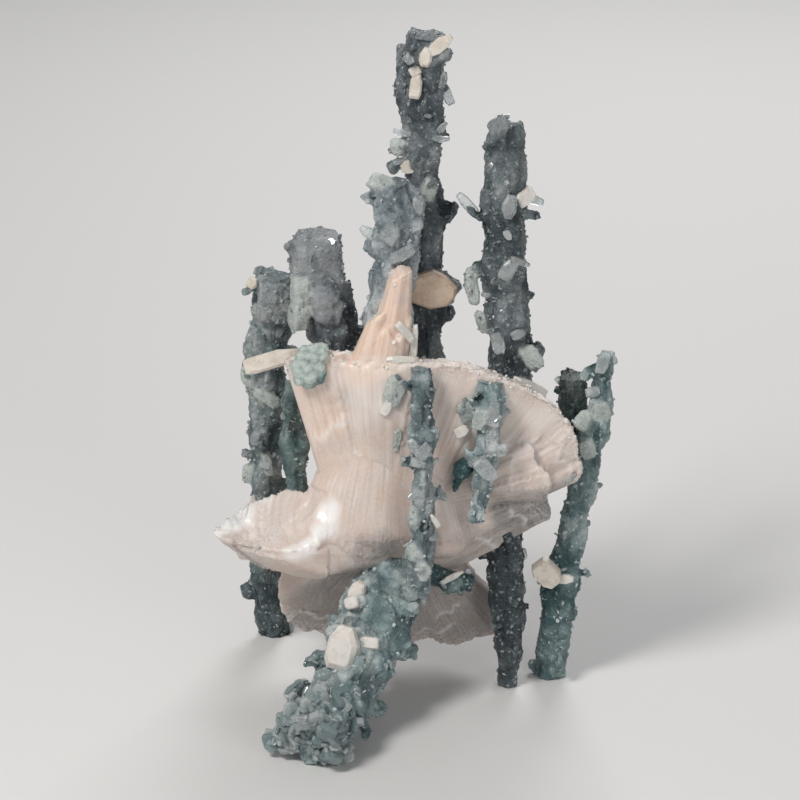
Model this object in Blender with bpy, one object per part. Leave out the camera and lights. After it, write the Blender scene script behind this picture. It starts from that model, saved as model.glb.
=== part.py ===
"""Heulandite specimen: a cluster of pink stilbite-like sheaves that grew round druse-coated stalactites.

The specimen stands on the broken ends of four stalactites. Z is up, the viewer of the photograph looks
along +Y from the front, and the origin is on the ground at the middle of the footprint. The tables give
places and sizes in millimetres; everything that becomes a mesh is scaled to metres by layout_point().
"""

import math
import random

import bmesh
import bpy
from mathutils import Matrix, Vector, noise
from mathutils.bvhtree import BVHTree

MM = 0.001
FOOTPRINT_CENTRE = Vector((2.7, -6.6, 0.0))
GAP = 0.4
MESH_WELD = 1e-6
FLAT_ANGLE = 4.0
GROUND_BOX = 300.0

ROUTE_STEP = 5.0
COLUMN_BEVEL = 2
LUMP_HEIGHT = 0.17
LUMP_SCALE = 0.23

FLUTE_DEPTH = 0.09
EDGE_FLUTE = 0.35
LEDGE_RISE = 0.03
LEDGE_RAGGED = 0.06
LEDGE_DEPTH = 0.12
TIP_STEP = 0.06
TIP_CROWN = 0.05

# A column is a list of (x, y, z, radius) down its length.
# A stalactite is its columns, how many druse plates it carries, their mean length, and a seed.
STALACTITES = {
    "stalactite_tall": {
        "columns": [
            [(6.6, 15, 158.2, 4.5), (6.0, 15, 148, 5.0), (5.6, 15, 131, 4.6), (5.4, 15, 118, 4.9),
             (5.9, 14, 101, 4.7), (6.8, 13, 82, 4.1), (6.6, 11, 60, 3.6)],
            [(1.3, 15.5, 155.6, 2.3), (1.2, 15.5, 146, 2.6), (2.4, 15.2, 134, 1.8)],
        ],
        "plates": 11, "plate_length": 5.6, "seed": 11,
    },
    "stalactite_short": {
        "columns": [
            [(-1.9, 4, 126.4, 4.7), (-0.6, 4, 117, 6.1), (-0.9, 4, 108, 5.4), (-2.4, 3, 98, 5.9),
             (-3.4, 2, 86, 5.4), (-3.4, 2, 76, 4.8)],
            [(3.6, 4.6, 122.8, 2.4), (3.0, 4.6, 114, 2.9), (2.2, 4, 103, 2.0)],
        ],
        "plates": 9, "plate_length": 5.8, "seed": 12,
    },
    "stalactite_left_upper": {
        "columns": [
            [(-19.6, 12, 110.6, 5.2), (-19.2, 12, 102, 5.2), (-17.0, 11, 91, 5.4), (-14.6, 9, 78, 4.8)],
            [(-13.4, 12.6, 99, 1.8), (-12.2, 12.0, 90, 2.8), (-11.4, 11, 80, 2.6)],
        ],
        "plates": 6, "plate_length": 5.6, "seed": 13,
    },
    "stalactite_left_leg": {
        "columns": [
            [(-30.0, 21, 98.4, 4.6), (-31.2, 22, 88, 5.2), (-32.0, 23.6, 74, 5.0), (-32.5, 25.4, 58, 4.6),
             (-32.4, 28, 38, 4.4), (-32.4, 30.6, 17, 4.6), (-32.4, 32.4, 4, 3.8), (-32.4, 33, -1, 3.4)],
        ],
        "plates": 13, "plate_length": 5.4, "seed": 14,
    },
    "stalactite_left_stub": {
        "columns": [
            [(-24.6, 15, 73, 2.9), (-25.4, 15, 62, 3.3), (-24.6, 14, 48, 3.2), (-22.0, 12, 38, 2.8)],
        ],
        "plates": 3, "plate_length": 4.4, "seed": 15,
    },
    "stalactite_rear_leg": {
        "columns": [
            [(24.0, 2, 140.8, 3.7), (24.6, 2, 134, 4.9), (24.2, 2, 120, 5.5), (24.6, 2, 104, 5.5),
             (25.8, 2, 88, 5.2), (26.4, 1.6, 70, 4.7), (26.0, 1, 52, 4.6), (25.6, 1, 34, 4.4),
             (25.4, 1, 18, 4.1), (26.0, 1, 6, 3.2), (26.2, 1, -1, 2.5)],
        ],
        "plates": 15, "plate_length": 5.4, "seed": 16,
    },
    "stalactite_right_leg": {
        "columns": [
            [(48.3, 5, 83.4, 2.4), (47.6, 5, 75, 3.2), (45.4, 5, 64, 3.8), (43.2, 5, 52, 3.9),
             (41.2, 5.6, 36, 4.0), (38.4, 6, 19, 4.3), (36.8, 6.6, 6, 3.9), (36.2, 7, -1, 3.2)],
        ],
        "plates": 12, "plate_length": 5.2, "seed": 17,
    },
    "stalactite_right_stub": {
        "columns": [
            [(41.0, 11, 76.2, 3.8), (41.2, 11, 70, 3.7), (42.0, 9.6, 60, 3.3), (40.6, 8, 50, 2.6)],
        ],
        "plates": 3, "plate_length": 4.2, "seed": 18,
    },
    "stalactite_fan_middle": {
        "columns": [
            [(4.6, -12.2, 86.4, 2.8), (4.9, -14.6, 75, 3.3), (5.2, -16, 61, 3.4), (5.6, -16, 48, 3.4),
             (4.2, -14.6, 34, 3.3), (3.4, -13.2, 28, 2.6)],
        ],
        "plates": 9, "plate_length": 4.6, "seed": 19,
    },
    "stalactite_fan_right": {
        "columns": [
            [(21.2, -9.4, 82.0, 3.4), (20.6, -11.4, 73, 3.9), (19.7, -12.8, 61, 3.1), (17.9, -13, 48.6, 2.1)],
        ],
        "plates": 6, "plate_length": 4.6, "seed": 20,
    },
    "stalactite_foot": {
        "columns": [
            [(-1.4, 0, 31.6, 8.2), (-4.9, -9, 24.6, 9.5), (-8.8, -19, 17.8, 8.9), (-13.8, -30, 11.4, 8.1),
             (-18.8, -39, 7.4, 8.6), (-21.8, -44.4, 6.8, 7.6)],
        ],
        "plates": 19, "plate_length": 6.4, "seed": 21,
    },
    "stalactite_under_stub": {
        "columns": [
            [(6.0, -7.4, 33.4, 2.8), (11.6, -6.2, 30.6, 2.9), (17.6, -4.6, 29.2, 2.2)],
        ],
        "plates": 2, "plate_length": 4.0, "seed": 22,
    },
}

# A sheaf fans out from its root to its tip. root_half and tip_half are its half width and half
# thickness there, facing is the way its broad side looks, and ledge is where a growth step breaks it.
SHEAVES = {
    "great_fan": {"root": (-1.8, 2, 27), "tip": (-0.6, -1.4, 83.6), "facing": (0, -1, 0),
                  "root_half": (10.0, 7.0), "tip_half": (18.6, 11.5), "flutes": 14, "ledge": 0.74},
    "left_fan": {"root": (-9, 3, 31), "tip": (-18.4, 2.4, 85.6), "facing": (-0.25, -1, 0),
                 "root_half": (8.0, 7.0), "tip_half": (7.4, 9.4), "flutes": 8, "ledge": 0.70},
    "upper_right_fan": {"root": (6, 2, 33), "tip": (22.6, -2.4, 79.4), "facing": (0.1, -1, 0),
                        "root_half": (7.0, 6.5), "tip_half": (12.6, 8.6), "flutes": 10},
    "right_fan": {"root": (9, -1, 46), "tip": (41.0, 0.6, 63.4), "facing": (0.15, -1, 0),
                  "root_half": (8.0, 7.0), "tip_half": (13.6, 9.4), "flutes": 12, "ledge": 0.70},
    "lower_right_fan": {"root": (4, 1, 33), "tip": (33.0, -0.6, 52.8), "facing": (0.3, -1, -0.3),
                        "root_half": (6.0, 6.0), "tip_half": (6.4, 8.4), "flutes": 8},
    "left_wing": {"root": (-4, 1, 34), "tip": (-40.4, -2.4, 43.8), "facing": (-0.1, -1, 0.7),
                  "root_half": (7.5, 7.5), "tip_half": (8.6, 11.6), "flutes": 12, "ledge": 0.78},
    "left_back_wing": {"root": (-3, 8, 35), "tip": (-36.6, 24, 33), "facing": (0, -0.4, 1),
                       "root_half": (6.0, 6.0), "tip_half": (10.0, 6.4), "flutes": 8},
    "bottom_fan": {"root": (-1.5, 6, 36), "tip": (-4.6, 17.4, 8.2), "facing": (0, -1, -0.3),
                   "root_half": (15.0, 7.0), "tip_half": (22.6, 6.6), "flutes": 13},
    "low_lobe": {"root": (1, -2, 50), "tip": (11.6, -10.4, 37.4), "facing": (0.3, -1, 0),
                 "root_half": (5.0, 4.0), "tip_half": (7.6, 4.8), "flutes": 6},
    "left_low_lobe": {"root": (-2, 1, 46), "tip": (-13.4, -7.6, 31.4), "facing": (-0.3, -1, 0.2),
                      "root_half": (6.0, 5.0), "tip_half": (9.6, 5.0), "flutes": 6},
    "back_fan": {"root": (0, 4, 36), "tip": (8, 26, 66), "facing": (0.1, 1, -0.4),
                 "root_half": (7.0, 6.0), "tip_half": (16.0, 8.0), "flutes": 10},
    "back_right_fan": {"root": (4, 5, 36), "tip": (30, 23, 46), "facing": (0.2, 1, 0.2),
                       "root_half": (6.0, 5.0), "tip_half": (12.0, 7.0), "flutes": 8},
    "back_low_fan": {"root": (0, 8, 36), "tip": (4, 31, 19), "facing": (0, 0.5, -1),
                     "root_half": (7.0, 5.0), "tip_half": (16.0, 6.0), "flutes": 9},
    "peach_spike": {"root": (0.2, -5.4, 108.6), "tip": (-6.6, -4.0, 80.5), "facing": (0, -1, 0),
                    "root_half": (2.9, 2.4), "tip_half": (8.8, 6.0), "flutes": 6},
}

# Single crystals that stand out from a step away:
# (piece, centre, the way its long axis points, the way its flat side faces, (length, width, thickness)).
SINGLE_CRYSTALS = [
    ("crystal_cluster", (-29.6, 2.4, 83.4), (-1, -0.3, -0.26), (0, -1, 0.5), (13.0, 3.8, 3.0)),
    ("crystal_cluster", (1.0, -9.0, 94.6), (-0.8, 0, 0.75), (0.3, -1, 0.4), (7.6, 2.0, 1.2)),
    ("crystal_cluster", (3.5, -9.2, 89.6), (0.06, 0, 1), (0.2, -1, 0), (9.6, 1.9, 1.3)),
    ("crystal_cluster", (-0.8, -12.0, 85.4), (1, 0.1, 0.12), (0, -0.5, 1), (12.0, 2.4, 1.2)),
    ("stalactite_tall", (8.6, 9.4, 98.6), (1, 0, 0.05), (0.1, -1, 0.15), (12.0, 9.0, 3.0)),
    ("stalactite_tall", (9.0, 10.6, 154.2), (0.75, -0.1, 0.6), (0, -1, 0.3), (6.4, 3.6, 2.4)),
    ("stalactite_foot", (-12.0, -26.4, 21.2), (0.2, 0.35, 1), (-0.45, -1, 0.3), (10.6, 7.2, 4.4)),
    ("stalactite_foot", (-9.4, -15.8, 29.2), (0.35, 0.2, 1), (-0.3, -1, 0.2), (5.2, 4.0, 3.0)),
    ("stalactite_foot", (-6.6, -24.6, 20.4), (1, 0.1, 0.1), (0.2, -1, 0.3), (5.0, 2.8, 2.0)),
    ("stalactite_right_leg", (35.2, 3.6, 28.8), (-0.55, -0.2, 0.8), (-0.5, -1, -0.1), (7.2, 5.6, 3.4)),
    ("stalactite_right_leg", (39.6, 2.6, 27.4), (1, 0, 0.1), (0.1, -1, 0.1), (4.4, 2.8, 2.0)),
    ("stalactite_rear_leg", (17.4, -0.4, 119.6), (-0.7, -0.1, 0.7), (0.5, -1, 0.4), (7.0, 2.4, 1.4)),
    ("stalactite_rear_leg", (30.2, -1.6, 120.0), (1, -0.1, -0.2), (0, -1, 0.5), (5.6, 2.8, 2.0)),
    ("stalactite_rear_leg", (18.4, -0.6, 92.6), (-0.15, 0, 1), (-1, -0.6, 0), (9.6, 3.4, 1.6)),
    ("stalactite_rear_leg", (31.6, 0.2, 84.4), (0.3, 0, 1), (1, -0.6, 0), (8.0, 4.4, 2.2)),
]

# Where two stalactites grew side by side, the first gives way to the second.
NEIGHBOURS = [
    ("stalactite_short", "stalactite_tall"),
    ("stalactite_left_leg", "stalactite_left_upper"),
    ("stalactite_left_stub", "stalactite_left_leg"),
    ("stalactite_left_stub", "stalactite_left_upper"),
    ("stalactite_right_stub", "stalactite_right_leg"),
    ("stalactite_under_stub", "stalactite_foot"),
    ("stalactite_under_stub", "stalactite_fan_middle"),
    ("stalactite_fan_middle", "stalactite_foot"),
]

FINISHES = {
    "pink_sheaves": {"color": (0.78, 0.62, 0.55), "roughness": 0.38},
    "grey_druse": {"color": (0.33, 0.39, 0.40), "roughness": 0.32},
    "green_druse": {"color": (0.20, 0.33, 0.31), "roughness": 0.30},
}
GREEN_STALACTITES = {
    "stalactite_left_leg",
    "stalactite_left_stub",
    "stalactite_rear_leg",
    "stalactite_right_leg",
    "stalactite_right_stub",
    "stalactite_foot",
    "stalactite_under_stub",
}


def layout_point(x, y, z):
    """A point of the tables, in millimetres, as metres from the origin."""
    return (Vector((x, y, z)) - FOOTPRINT_CENTRE) * MM


def clear_scene():
    for obj in list(bpy.data.objects):
        bpy.data.objects.remove(obj, do_unlink=True)


def new_collection(name, helper=False):
    made = bpy.data.collections.new(name)
    made.hide_render = helper
    bpy.context.scene.collection.children.link(made)
    return made


def finish_material(name):
    """A plain Principled material in the colour of that part of the specimen."""
    found = bpy.data.materials.get(name)
    if found:
        return found
    made = bpy.data.materials.new(name)
    made.use_nodes = True
    shader = made.node_tree.nodes["Principled BSDF"]
    shader.inputs["Base Color"].default_value = (*FINISHES[name]["color"], 1.0)
    shader.inputs["Roughness"].default_value = FINISHES[name]["roughness"]
    shader.inputs["Metallic"].default_value = 0.0
    return made


def object_from_bmesh(bm, name, collection):
    """A new object of that shape, its bent faces split the same way in every copy and facing outwards."""
    bmesh.ops.triangulate(bm, faces=bm.faces, quad_method="FIXED")
    bmesh.ops.recalc_face_normals(bm, faces=bm.faces)
    if bm.calc_volume(signed=True) < 0:
        bmesh.ops.reverse_faces(bm, faces=bm.faces)
    mesh = bpy.data.meshes.new(name)
    bm.to_mesh(mesh)
    bm.free()
    obj = bpy.data.objects.new(name, mesh)
    collection.objects.link(obj)
    return obj


def as_helper(obj):
    obj.hide_render = True
    obj.display_type = "WIRE"
    return obj


def evaluated_mesh(obj):
    bpy.context.view_layer.update()
    graph = bpy.context.evaluated_depsgraph_get()
    return bpy.data.meshes.new_from_object(obj.evaluated_get(graph))


def remove_objects(objects):
    for obj in objects:
        bpy.data.objects.remove(obj, do_unlink=True)


def smooth_route(points):
    """Points about ROUTE_STEP apart on a smooth curve through a column's (x, y, z, radius) points."""
    knots = [Vector(p) for p in points]
    ends = [knots[0] * 2 - knots[1]] + knots + [knots[-1] * 2 - knots[-2]]
    route = []
    for before, start, end, after in zip(ends, ends[1:], ends[2:], ends[3:]):
        count = max(1, round((end - start).xyz.length / ROUTE_STEP))
        for step in range(count):
            t = step / count
            bend = (start * 2 + (end - before) * t + (before * 2 - start * 5 + end * 4 - after) * t * t
                    + (start * 3 - before - end * 3 + after) * t * t * t)
            route.append(bend * 0.5)
    route.append(knots[-1])
    return route


def column(name, points, collection, grow=0.0):
    """One lumpy stalactite column: a tube that follows the route with its radius, then roughened."""
    curve = bpy.data.curves.new(name, "CURVE")
    curve.dimensions = "3D"
    curve.bevel_depth = MM
    curve.bevel_resolution = COLUMN_BEVEL
    curve.use_fill_caps = True
    route = smooth_route(points)
    spline = curve.splines.new("POLY")
    spline.points.add(len(route) - 1)
    for point, place in zip(spline.points, route):
        point.co = (*layout_point(*place.xyz), 1.0)
        point.radius = place.w
    tube = bpy.data.objects.new(name, curve)
    collection.objects.link(tube)
    mesh = evaluated_mesh(tube)
    remove_objects([tube])

    bm = bmesh.new()
    bm.from_mesh(mesh)
    bmesh.ops.remove_doubles(bm, verts=bm.verts, dist=MESH_WELD)
    bm.normal_update()
    bumps = []
    for vert in bm.verts:
        radius = min(route, key=lambda p: (layout_point(*p.xyz) - vert.co).length).w
        lump = noise.noise(vert.co / MM * LUMP_SCALE) * 2.0 + noise.noise(vert.co / MM * LUMP_SCALE * 2.3)
        bumps.append(vert.normal * radius * LUMP_HEIGHT * lump * MM)
    for vert, bump in zip(bm.verts, bumps):
        vert.co += bump
    bm.normal_update()
    outward = [vert.normal * grow * MM for vert in bm.verts]
    for vert, step in zip(bm.verts, outward):
        vert.co += step
    return object_from_bmesh(bm, name, collection)


def axes_frame(long_axis, facing):
    """A rotation whose Y is the long axis and whose Z is as near to facing as it can be."""
    y_axis = Vector(long_axis).normalized()
    z_axis = Vector(facing)
    z_axis = (z_axis - y_axis * z_axis.dot(y_axis)).normalized()
    x_axis = y_axis.cross(z_axis)
    return Matrix((x_axis, y_axis, z_axis)).transposed()


def tablet(name, centre, long_axis, facing, size, collection, grow=0.0):
    """A coffin-shaped tablet: six-sided, flat, longer than wide, with one broad face a little smaller."""
    length, width, thickness = size
    bm = bmesh.new()
    bmesh.ops.create_cone(bm, cap_ends=True, segments=6, radius1=0.5, radius2=0.44, depth=1.0)
    turn = axes_frame(long_axis, facing)
    grown = 2.0 * grow
    for vert in bm.verts:
        across, along, up = vert.co
        place = Vector((across * (width * 1.12 + grown * 1.2), along * (length + grown * 1.2), up * (thickness + grown)))
        vert.co = layout_point(*(Vector(centre) + turn @ place))
    return object_from_bmesh(bm, name, collection)


def sheaf_frame(sheaf):
    """(axis, width direction, thickness direction, length, the half angles that it spreads by)."""
    root = Vector(sheaf["root"])
    run = Vector(sheaf["tip"]) - root
    axis = run.normalized()
    facing = Vector(sheaf["facing"])
    thick_way = (facing - axis * facing.dot(axis)).normalized()
    width_way = axis.cross(thick_way)
    spread = [math.atan2(tip - foot, run.length)
              for foot, tip in zip(sheaf["root_half"], sheaf["tip_half"])]
    return axis, width_way, thick_way, run.length, spread


def sheaf_point(sheaf, u, v, t):
    """The place a share t of the way up the lath that starts at (u, v) of the root's ellipse."""
    axis, width_way, thick_way, length, spread = sheaf_frame(sheaf)
    foot_w, foot_t = sheaf["root_half"]
    turn_w = u * spread[0]
    turn_t = v * spread[1]
    way = axis * math.cos(turn_w) * math.cos(turn_t) + width_way * math.sin(turn_w) + thick_way * math.sin(turn_t)
    return Vector(sheaf["root"]) + width_way * foot_w * u + thick_way * foot_t * v + way * length * t


def sheaf_solid(name, sheaf, collection):
    """A fluted sheaf: a cylinder drawn out along the fan, with a stepped, crowned end and maybe a ledge."""
    segments = sheaf["flutes"] * 2
    ledge = sheaf.get("ledge")
    bm = bmesh.new()
    bmesh.ops.create_cone(bm, cap_ends=True, segments=segments, radius1=1.0, radius2=1.0, depth=1.0)
    for share in (ledge, ledge + LEDGE_RISE) if ledge else ():
        geometry = bm.verts[:] + bm.edges[:] + bm.faces[:]
        bmesh.ops.bisect_plane(bm, geom=geometry, plane_co=(0, 0, share - 0.5), plane_no=(0, 0, 1))
    end = max(bm.faces, key=lambda f: f.calc_center_median().z)
    bmesh.ops.inset_region(bm, faces=[end], thickness=0.45)
    bmesh.ops.poke(bm, faces=[end])

    draw = random.Random(name)
    steps = [draw.uniform(-TIP_STEP, TIP_STEP) for _ in range(segments)]
    depths = [FLUTE_DEPTH * (draw.uniform(0.0, 1.0) + i % 2) for i in range(segments)]
    breaks = [draw.uniform(-LEDGE_RAGGED, LEDGE_RAGGED) for _ in range(segments)]
    for vert in bm.verts:
        around = math.atan2(vert.co.y, vert.co.x)
        flute = round(around / math.tau * segments) % segments
        out = math.hypot(vert.co.x, vert.co.y)
        share = vert.co.z + 0.5
        at_end = share > 0.95
        groove = depths[flute] * (EDGE_FLUTE + (1 - EDGE_FLUTE) * abs(math.sin(around)))
        reach = out * (1 - groove * (out > 0.9))
        rise = share
        if at_end:
            rise += steps[flute] * min(1.0, out * 1.5) + TIP_CROWN * (1 - out * out)
        elif ledge and share > 0.05:
            rise += breaks[flute]
        if ledge and not at_end and share < ledge + LEDGE_RISE / 2:
            reach += LEDGE_DEPTH * out * share
        vert.co = layout_point(*sheaf_point(sheaf, reach * math.cos(around), reach * math.sin(around), rise))
    return object_from_bmesh(bm, name, collection)


def boolean_mesh(obj, others, operation, helpers):
    """obj's mesh after that Boolean with all the others at once."""
    group = bpy.data.collections.new("operands_" + obj.name)
    helpers.children.link(group)
    for other in others:
        group.objects.link(other)
    modifier = obj.modifiers.new("boolean", "BOOLEAN")
    modifier.operation = operation
    modifier.operand_type = "COLLECTION"
    modifier.collection = group
    modifier.solver = "EXACT"
    mesh = evaluated_mesh(obj)
    obj.modifiers.remove(modifier)
    bpy.data.collections.remove(group)
    obj.data = mesh
    return obj


def keep_largest_body(obj):
    """Drops the crumbs that a cut leaves beside the main body."""
    bm = bmesh.new()
    bm.from_mesh(obj.data)
    left = set(bm.verts)
    bodies = []
    while left:
        stack = [left.pop()]
        body = set(stack)
        while stack:
            for edge in stack.pop().link_edges:
                for vert in edge.verts:
                    if vert not in body:
                        body.add(vert)
                        stack.append(vert)
        left -= body
        bodies.append(body)
    largest = max(bodies, key=len)
    crumbs = [vert for body in bodies if body is not largest for vert in body]
    bmesh.ops.delete(bm, geom=crumbs, context="VERTS")
    bmesh.ops.dissolve_limit(bm, angle_limit=math.radians(FLAT_ANGLE), verts=bm.verts, edges=bm.edges)
    bmesh.ops.triangulate(bm, faces=bm.faces)
    bm.to_mesh(obj.data)
    bm.free()
    return obj


def plates_of(spec):
    """The druse plates on a stalactite's first column, as (centre, long axis, facing, size)."""
    draw = random.Random(spec["seed"])
    route = smooth_route(spec["columns"][0])
    lengths = [(b - a).xyz.length for a, b in zip(route, route[1:])]
    total = sum(lengths)
    made = []
    for number in range(spec["plates"]):
        reach = (number + draw.uniform(0.2, 0.8)) / spec["plates"] * total
        leg = 0
        while leg < len(lengths) - 1 and reach > lengths[leg]:
            reach -= lengths[leg]
            leg += 1
        here = route[leg].lerp(route[leg + 1], min(1.0, reach / lengths[leg]))
        along = (route[leg + 1] - route[leg]).xyz.normalized()
        side = along.orthogonal().normalized()
        turn = number * 2.399 + draw.uniform(-0.5, 0.5)
        out = Matrix.Rotation(turn, 3, along) @ side
        length = spec["plate_length"] * draw.uniform(0.75, 1.3)
        size = (length, length * draw.uniform(0.5, 0.8), length * draw.uniform(0.24, 0.36))
        long_axis = out * draw.uniform(0.35, 1.0) + along * draw.uniform(-0.9, 0.9)
        facing = along.cross(out) * draw.uniform(-1.0, 1.0) + out * 0.5 + along * draw.uniform(-0.4, 0.4)
        centre = here.xyz + out * (here.w + length * 0.1)
        made.append((centre, long_axis, facing, size))
    return made


def free_plates(name, cluster, helpers):
    """The plates of that stalactite that stay clear of the cluster."""
    tree = tree_of(cluster)
    free = []
    for plate in plates_of(STALACTITES[name]):
        trial = tablet("trial", *plate, helpers, GAP)
        hit, normal, _, _ = tree.find_nearest(layout_point(*plate[0]))
        buried = (layout_point(*plate[0]) - hit).dot(normal) < 0
        if not buried and not tree.overlap(tree_of(trial)):
            free.append(plate)
        remove_objects([trial])
    return free


def stalactite_parts(name, plates, collection, grow=0.0):
    """A stalactite's columns, druse plates and single crystals, as loose solids."""
    columns = STALACTITES[name]["columns"]
    parts = [column(f"{name}_column_{i}", points, collection, grow) for i, points in enumerate(columns)]
    for number, plate in enumerate(plates):
        parts.append(tablet(f"{name}_plate_{number}", *plate, collection, grow))
    parts += single_crystals(name, collection, grow)
    return parts


def single_crystals(piece, collection, grow=0.0):
    chosen = [crystal[1:] for crystal in SINGLE_CRYSTALS if crystal[0] == piece]
    return [tablet(f"{piece}_crystal_{i}", *crystal, collection, grow) for i, crystal in enumerate(chosen)]


def fused(name, parts, helpers):
    """The loose solids as one body with that name."""
    base, others = parts[0], parts[1:]
    base.name = name
    boolean_mesh(base, others, "UNION", helpers)
    remove_objects(others)
    return keep_largest_body(base)


def ground_block(helpers):
    bpy.ops.mesh.primitive_cube_add(size=GROUND_BOX * MM, location=(0, 0, -GROUND_BOX * MM / 2))
    block = bpy.context.object
    block.name = "ground_block"
    for other in list(block.users_collection):
        other.objects.unlink(block)
    helpers.objects.link(block)
    return as_helper(block)


def tree_of(obj):
    bm = bmesh.new()
    bm.from_mesh(obj.data)
    tree = BVHTree.FromBMesh(bm)
    bm.free()
    return tree


def build():
    clear_scene()
    specimen = new_collection("heulandite_specimen")
    helpers = new_collection("cutters", helper=True)

    sheaves = [sheaf_solid(f"sheaf_{name}", sheaf, specimen) for name, sheaf in SHEAVES.items()]
    cluster = fused("crystal_cluster", sheaves + single_crystals("crystal_cluster", specimen), helpers)

    pieces = {}
    grown = {}
    for name in STALACTITES:
        plates = free_plates(name, cluster, helpers)
        grown[name] = [as_helper(part) for part in stalactite_parts(name, plates, helpers, grow=GAP)]
        pieces[name] = fused(name, stalactite_parts(name, plates, specimen), helpers)

    whole = tree_of(cluster)
    cutters = [part for parts in grown.values() for part in parts if whole.overlap(tree_of(part))]
    boolean_mesh(cluster, cutters, "DIFFERENCE", helpers)
    for yielding, standing in NEIGHBOURS:
        boolean_mesh(pieces[yielding], grown[standing], "DIFFERENCE", helpers)
    block = ground_block(helpers)
    for obj in [cluster, *pieces.values()]:
        if min(vert.co.z for vert in obj.data.vertices) < 0:
            boolean_mesh(obj, [block], "DIFFERENCE", helpers)
        keep_largest_body(obj)
        obj.data.materials.clear()
    remove_objects([part for parts in grown.values() for part in parts])

    cluster.data.materials.append(finish_material("pink_sheaves"))
    for name, obj in pieces.items():
        finish = "green_druse" if name in GREEN_STALACTITES else "grey_druse"
        obj.data.materials.append(finish_material(finish))


build()
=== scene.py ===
"""The looks of the heulandite specimen: pink crystal sheaves and druse-coated stalactites.

Sizes in the tables are millimetres in the layout's own frame; FOOTPRINT_CENTRE moves them to the
specimen's origin, and MM turns them into metres.
"""

import math
import random

import bmesh
import bpy
import numpy as np
from mathutils import Matrix, Vector, noise
from mathutils.bvhtree import BVHTree


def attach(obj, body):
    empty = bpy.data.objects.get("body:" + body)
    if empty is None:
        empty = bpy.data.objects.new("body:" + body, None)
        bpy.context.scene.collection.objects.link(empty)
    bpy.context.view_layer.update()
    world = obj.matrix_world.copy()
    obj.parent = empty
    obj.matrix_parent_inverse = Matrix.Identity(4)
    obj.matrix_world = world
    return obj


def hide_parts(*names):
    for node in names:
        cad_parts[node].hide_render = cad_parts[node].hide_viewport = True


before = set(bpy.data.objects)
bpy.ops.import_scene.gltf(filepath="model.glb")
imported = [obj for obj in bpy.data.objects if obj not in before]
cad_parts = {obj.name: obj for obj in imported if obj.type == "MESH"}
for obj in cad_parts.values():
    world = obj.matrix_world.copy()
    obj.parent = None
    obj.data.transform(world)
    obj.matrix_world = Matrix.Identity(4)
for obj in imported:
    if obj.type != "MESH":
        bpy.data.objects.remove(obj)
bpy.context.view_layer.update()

MM = 0.001
FOOTPRINT_CENTRE = Vector((2.7, -6.6, 0.0))

# The camera looks along +Y and down, at a point above the middle of the base.
CAMERA_TARGET = (0.0, 0.0, 74.0)
CAMERA_DISTANCE = 900.0
CAMERA_ELEVATION = 20.0
VIEW_WIDTH = 188.0
SENSOR_WIDTH = 36.0
FRAME_PIXELS = 800

# Soft lamps: (name, place in metres, width in metres, power in watts, colour).
LAMPS = [
    ("key", (-0.38, -0.42, 0.68), 0.26, 4.6, (1.0, 0.98, 0.95)),
    ("fill", (0.45, -0.8, 0.35), 0.5, 1.7, (1.0, 1.0, 1.0)),
    ("back", (0.15, 0.7, 0.6), 0.4, 3.0, (1.0, 1.0, 1.0)),
]
LAMP_AIM = (0, 0, 0.07)
SKY_COLOUR = (0.80, 0.82, 0.84, 1.0)
SKY_STRENGTH = 0.30
FLOOR_HALF_WIDTH = 3.0
FLOOR_COLOUR = (0.72, 0.71, 0.70)

PINK_SLOT = "pink_sheaves"
GREY_SLOT = "grey_druse"
GREEN_SLOT = "green_druse"

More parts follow.
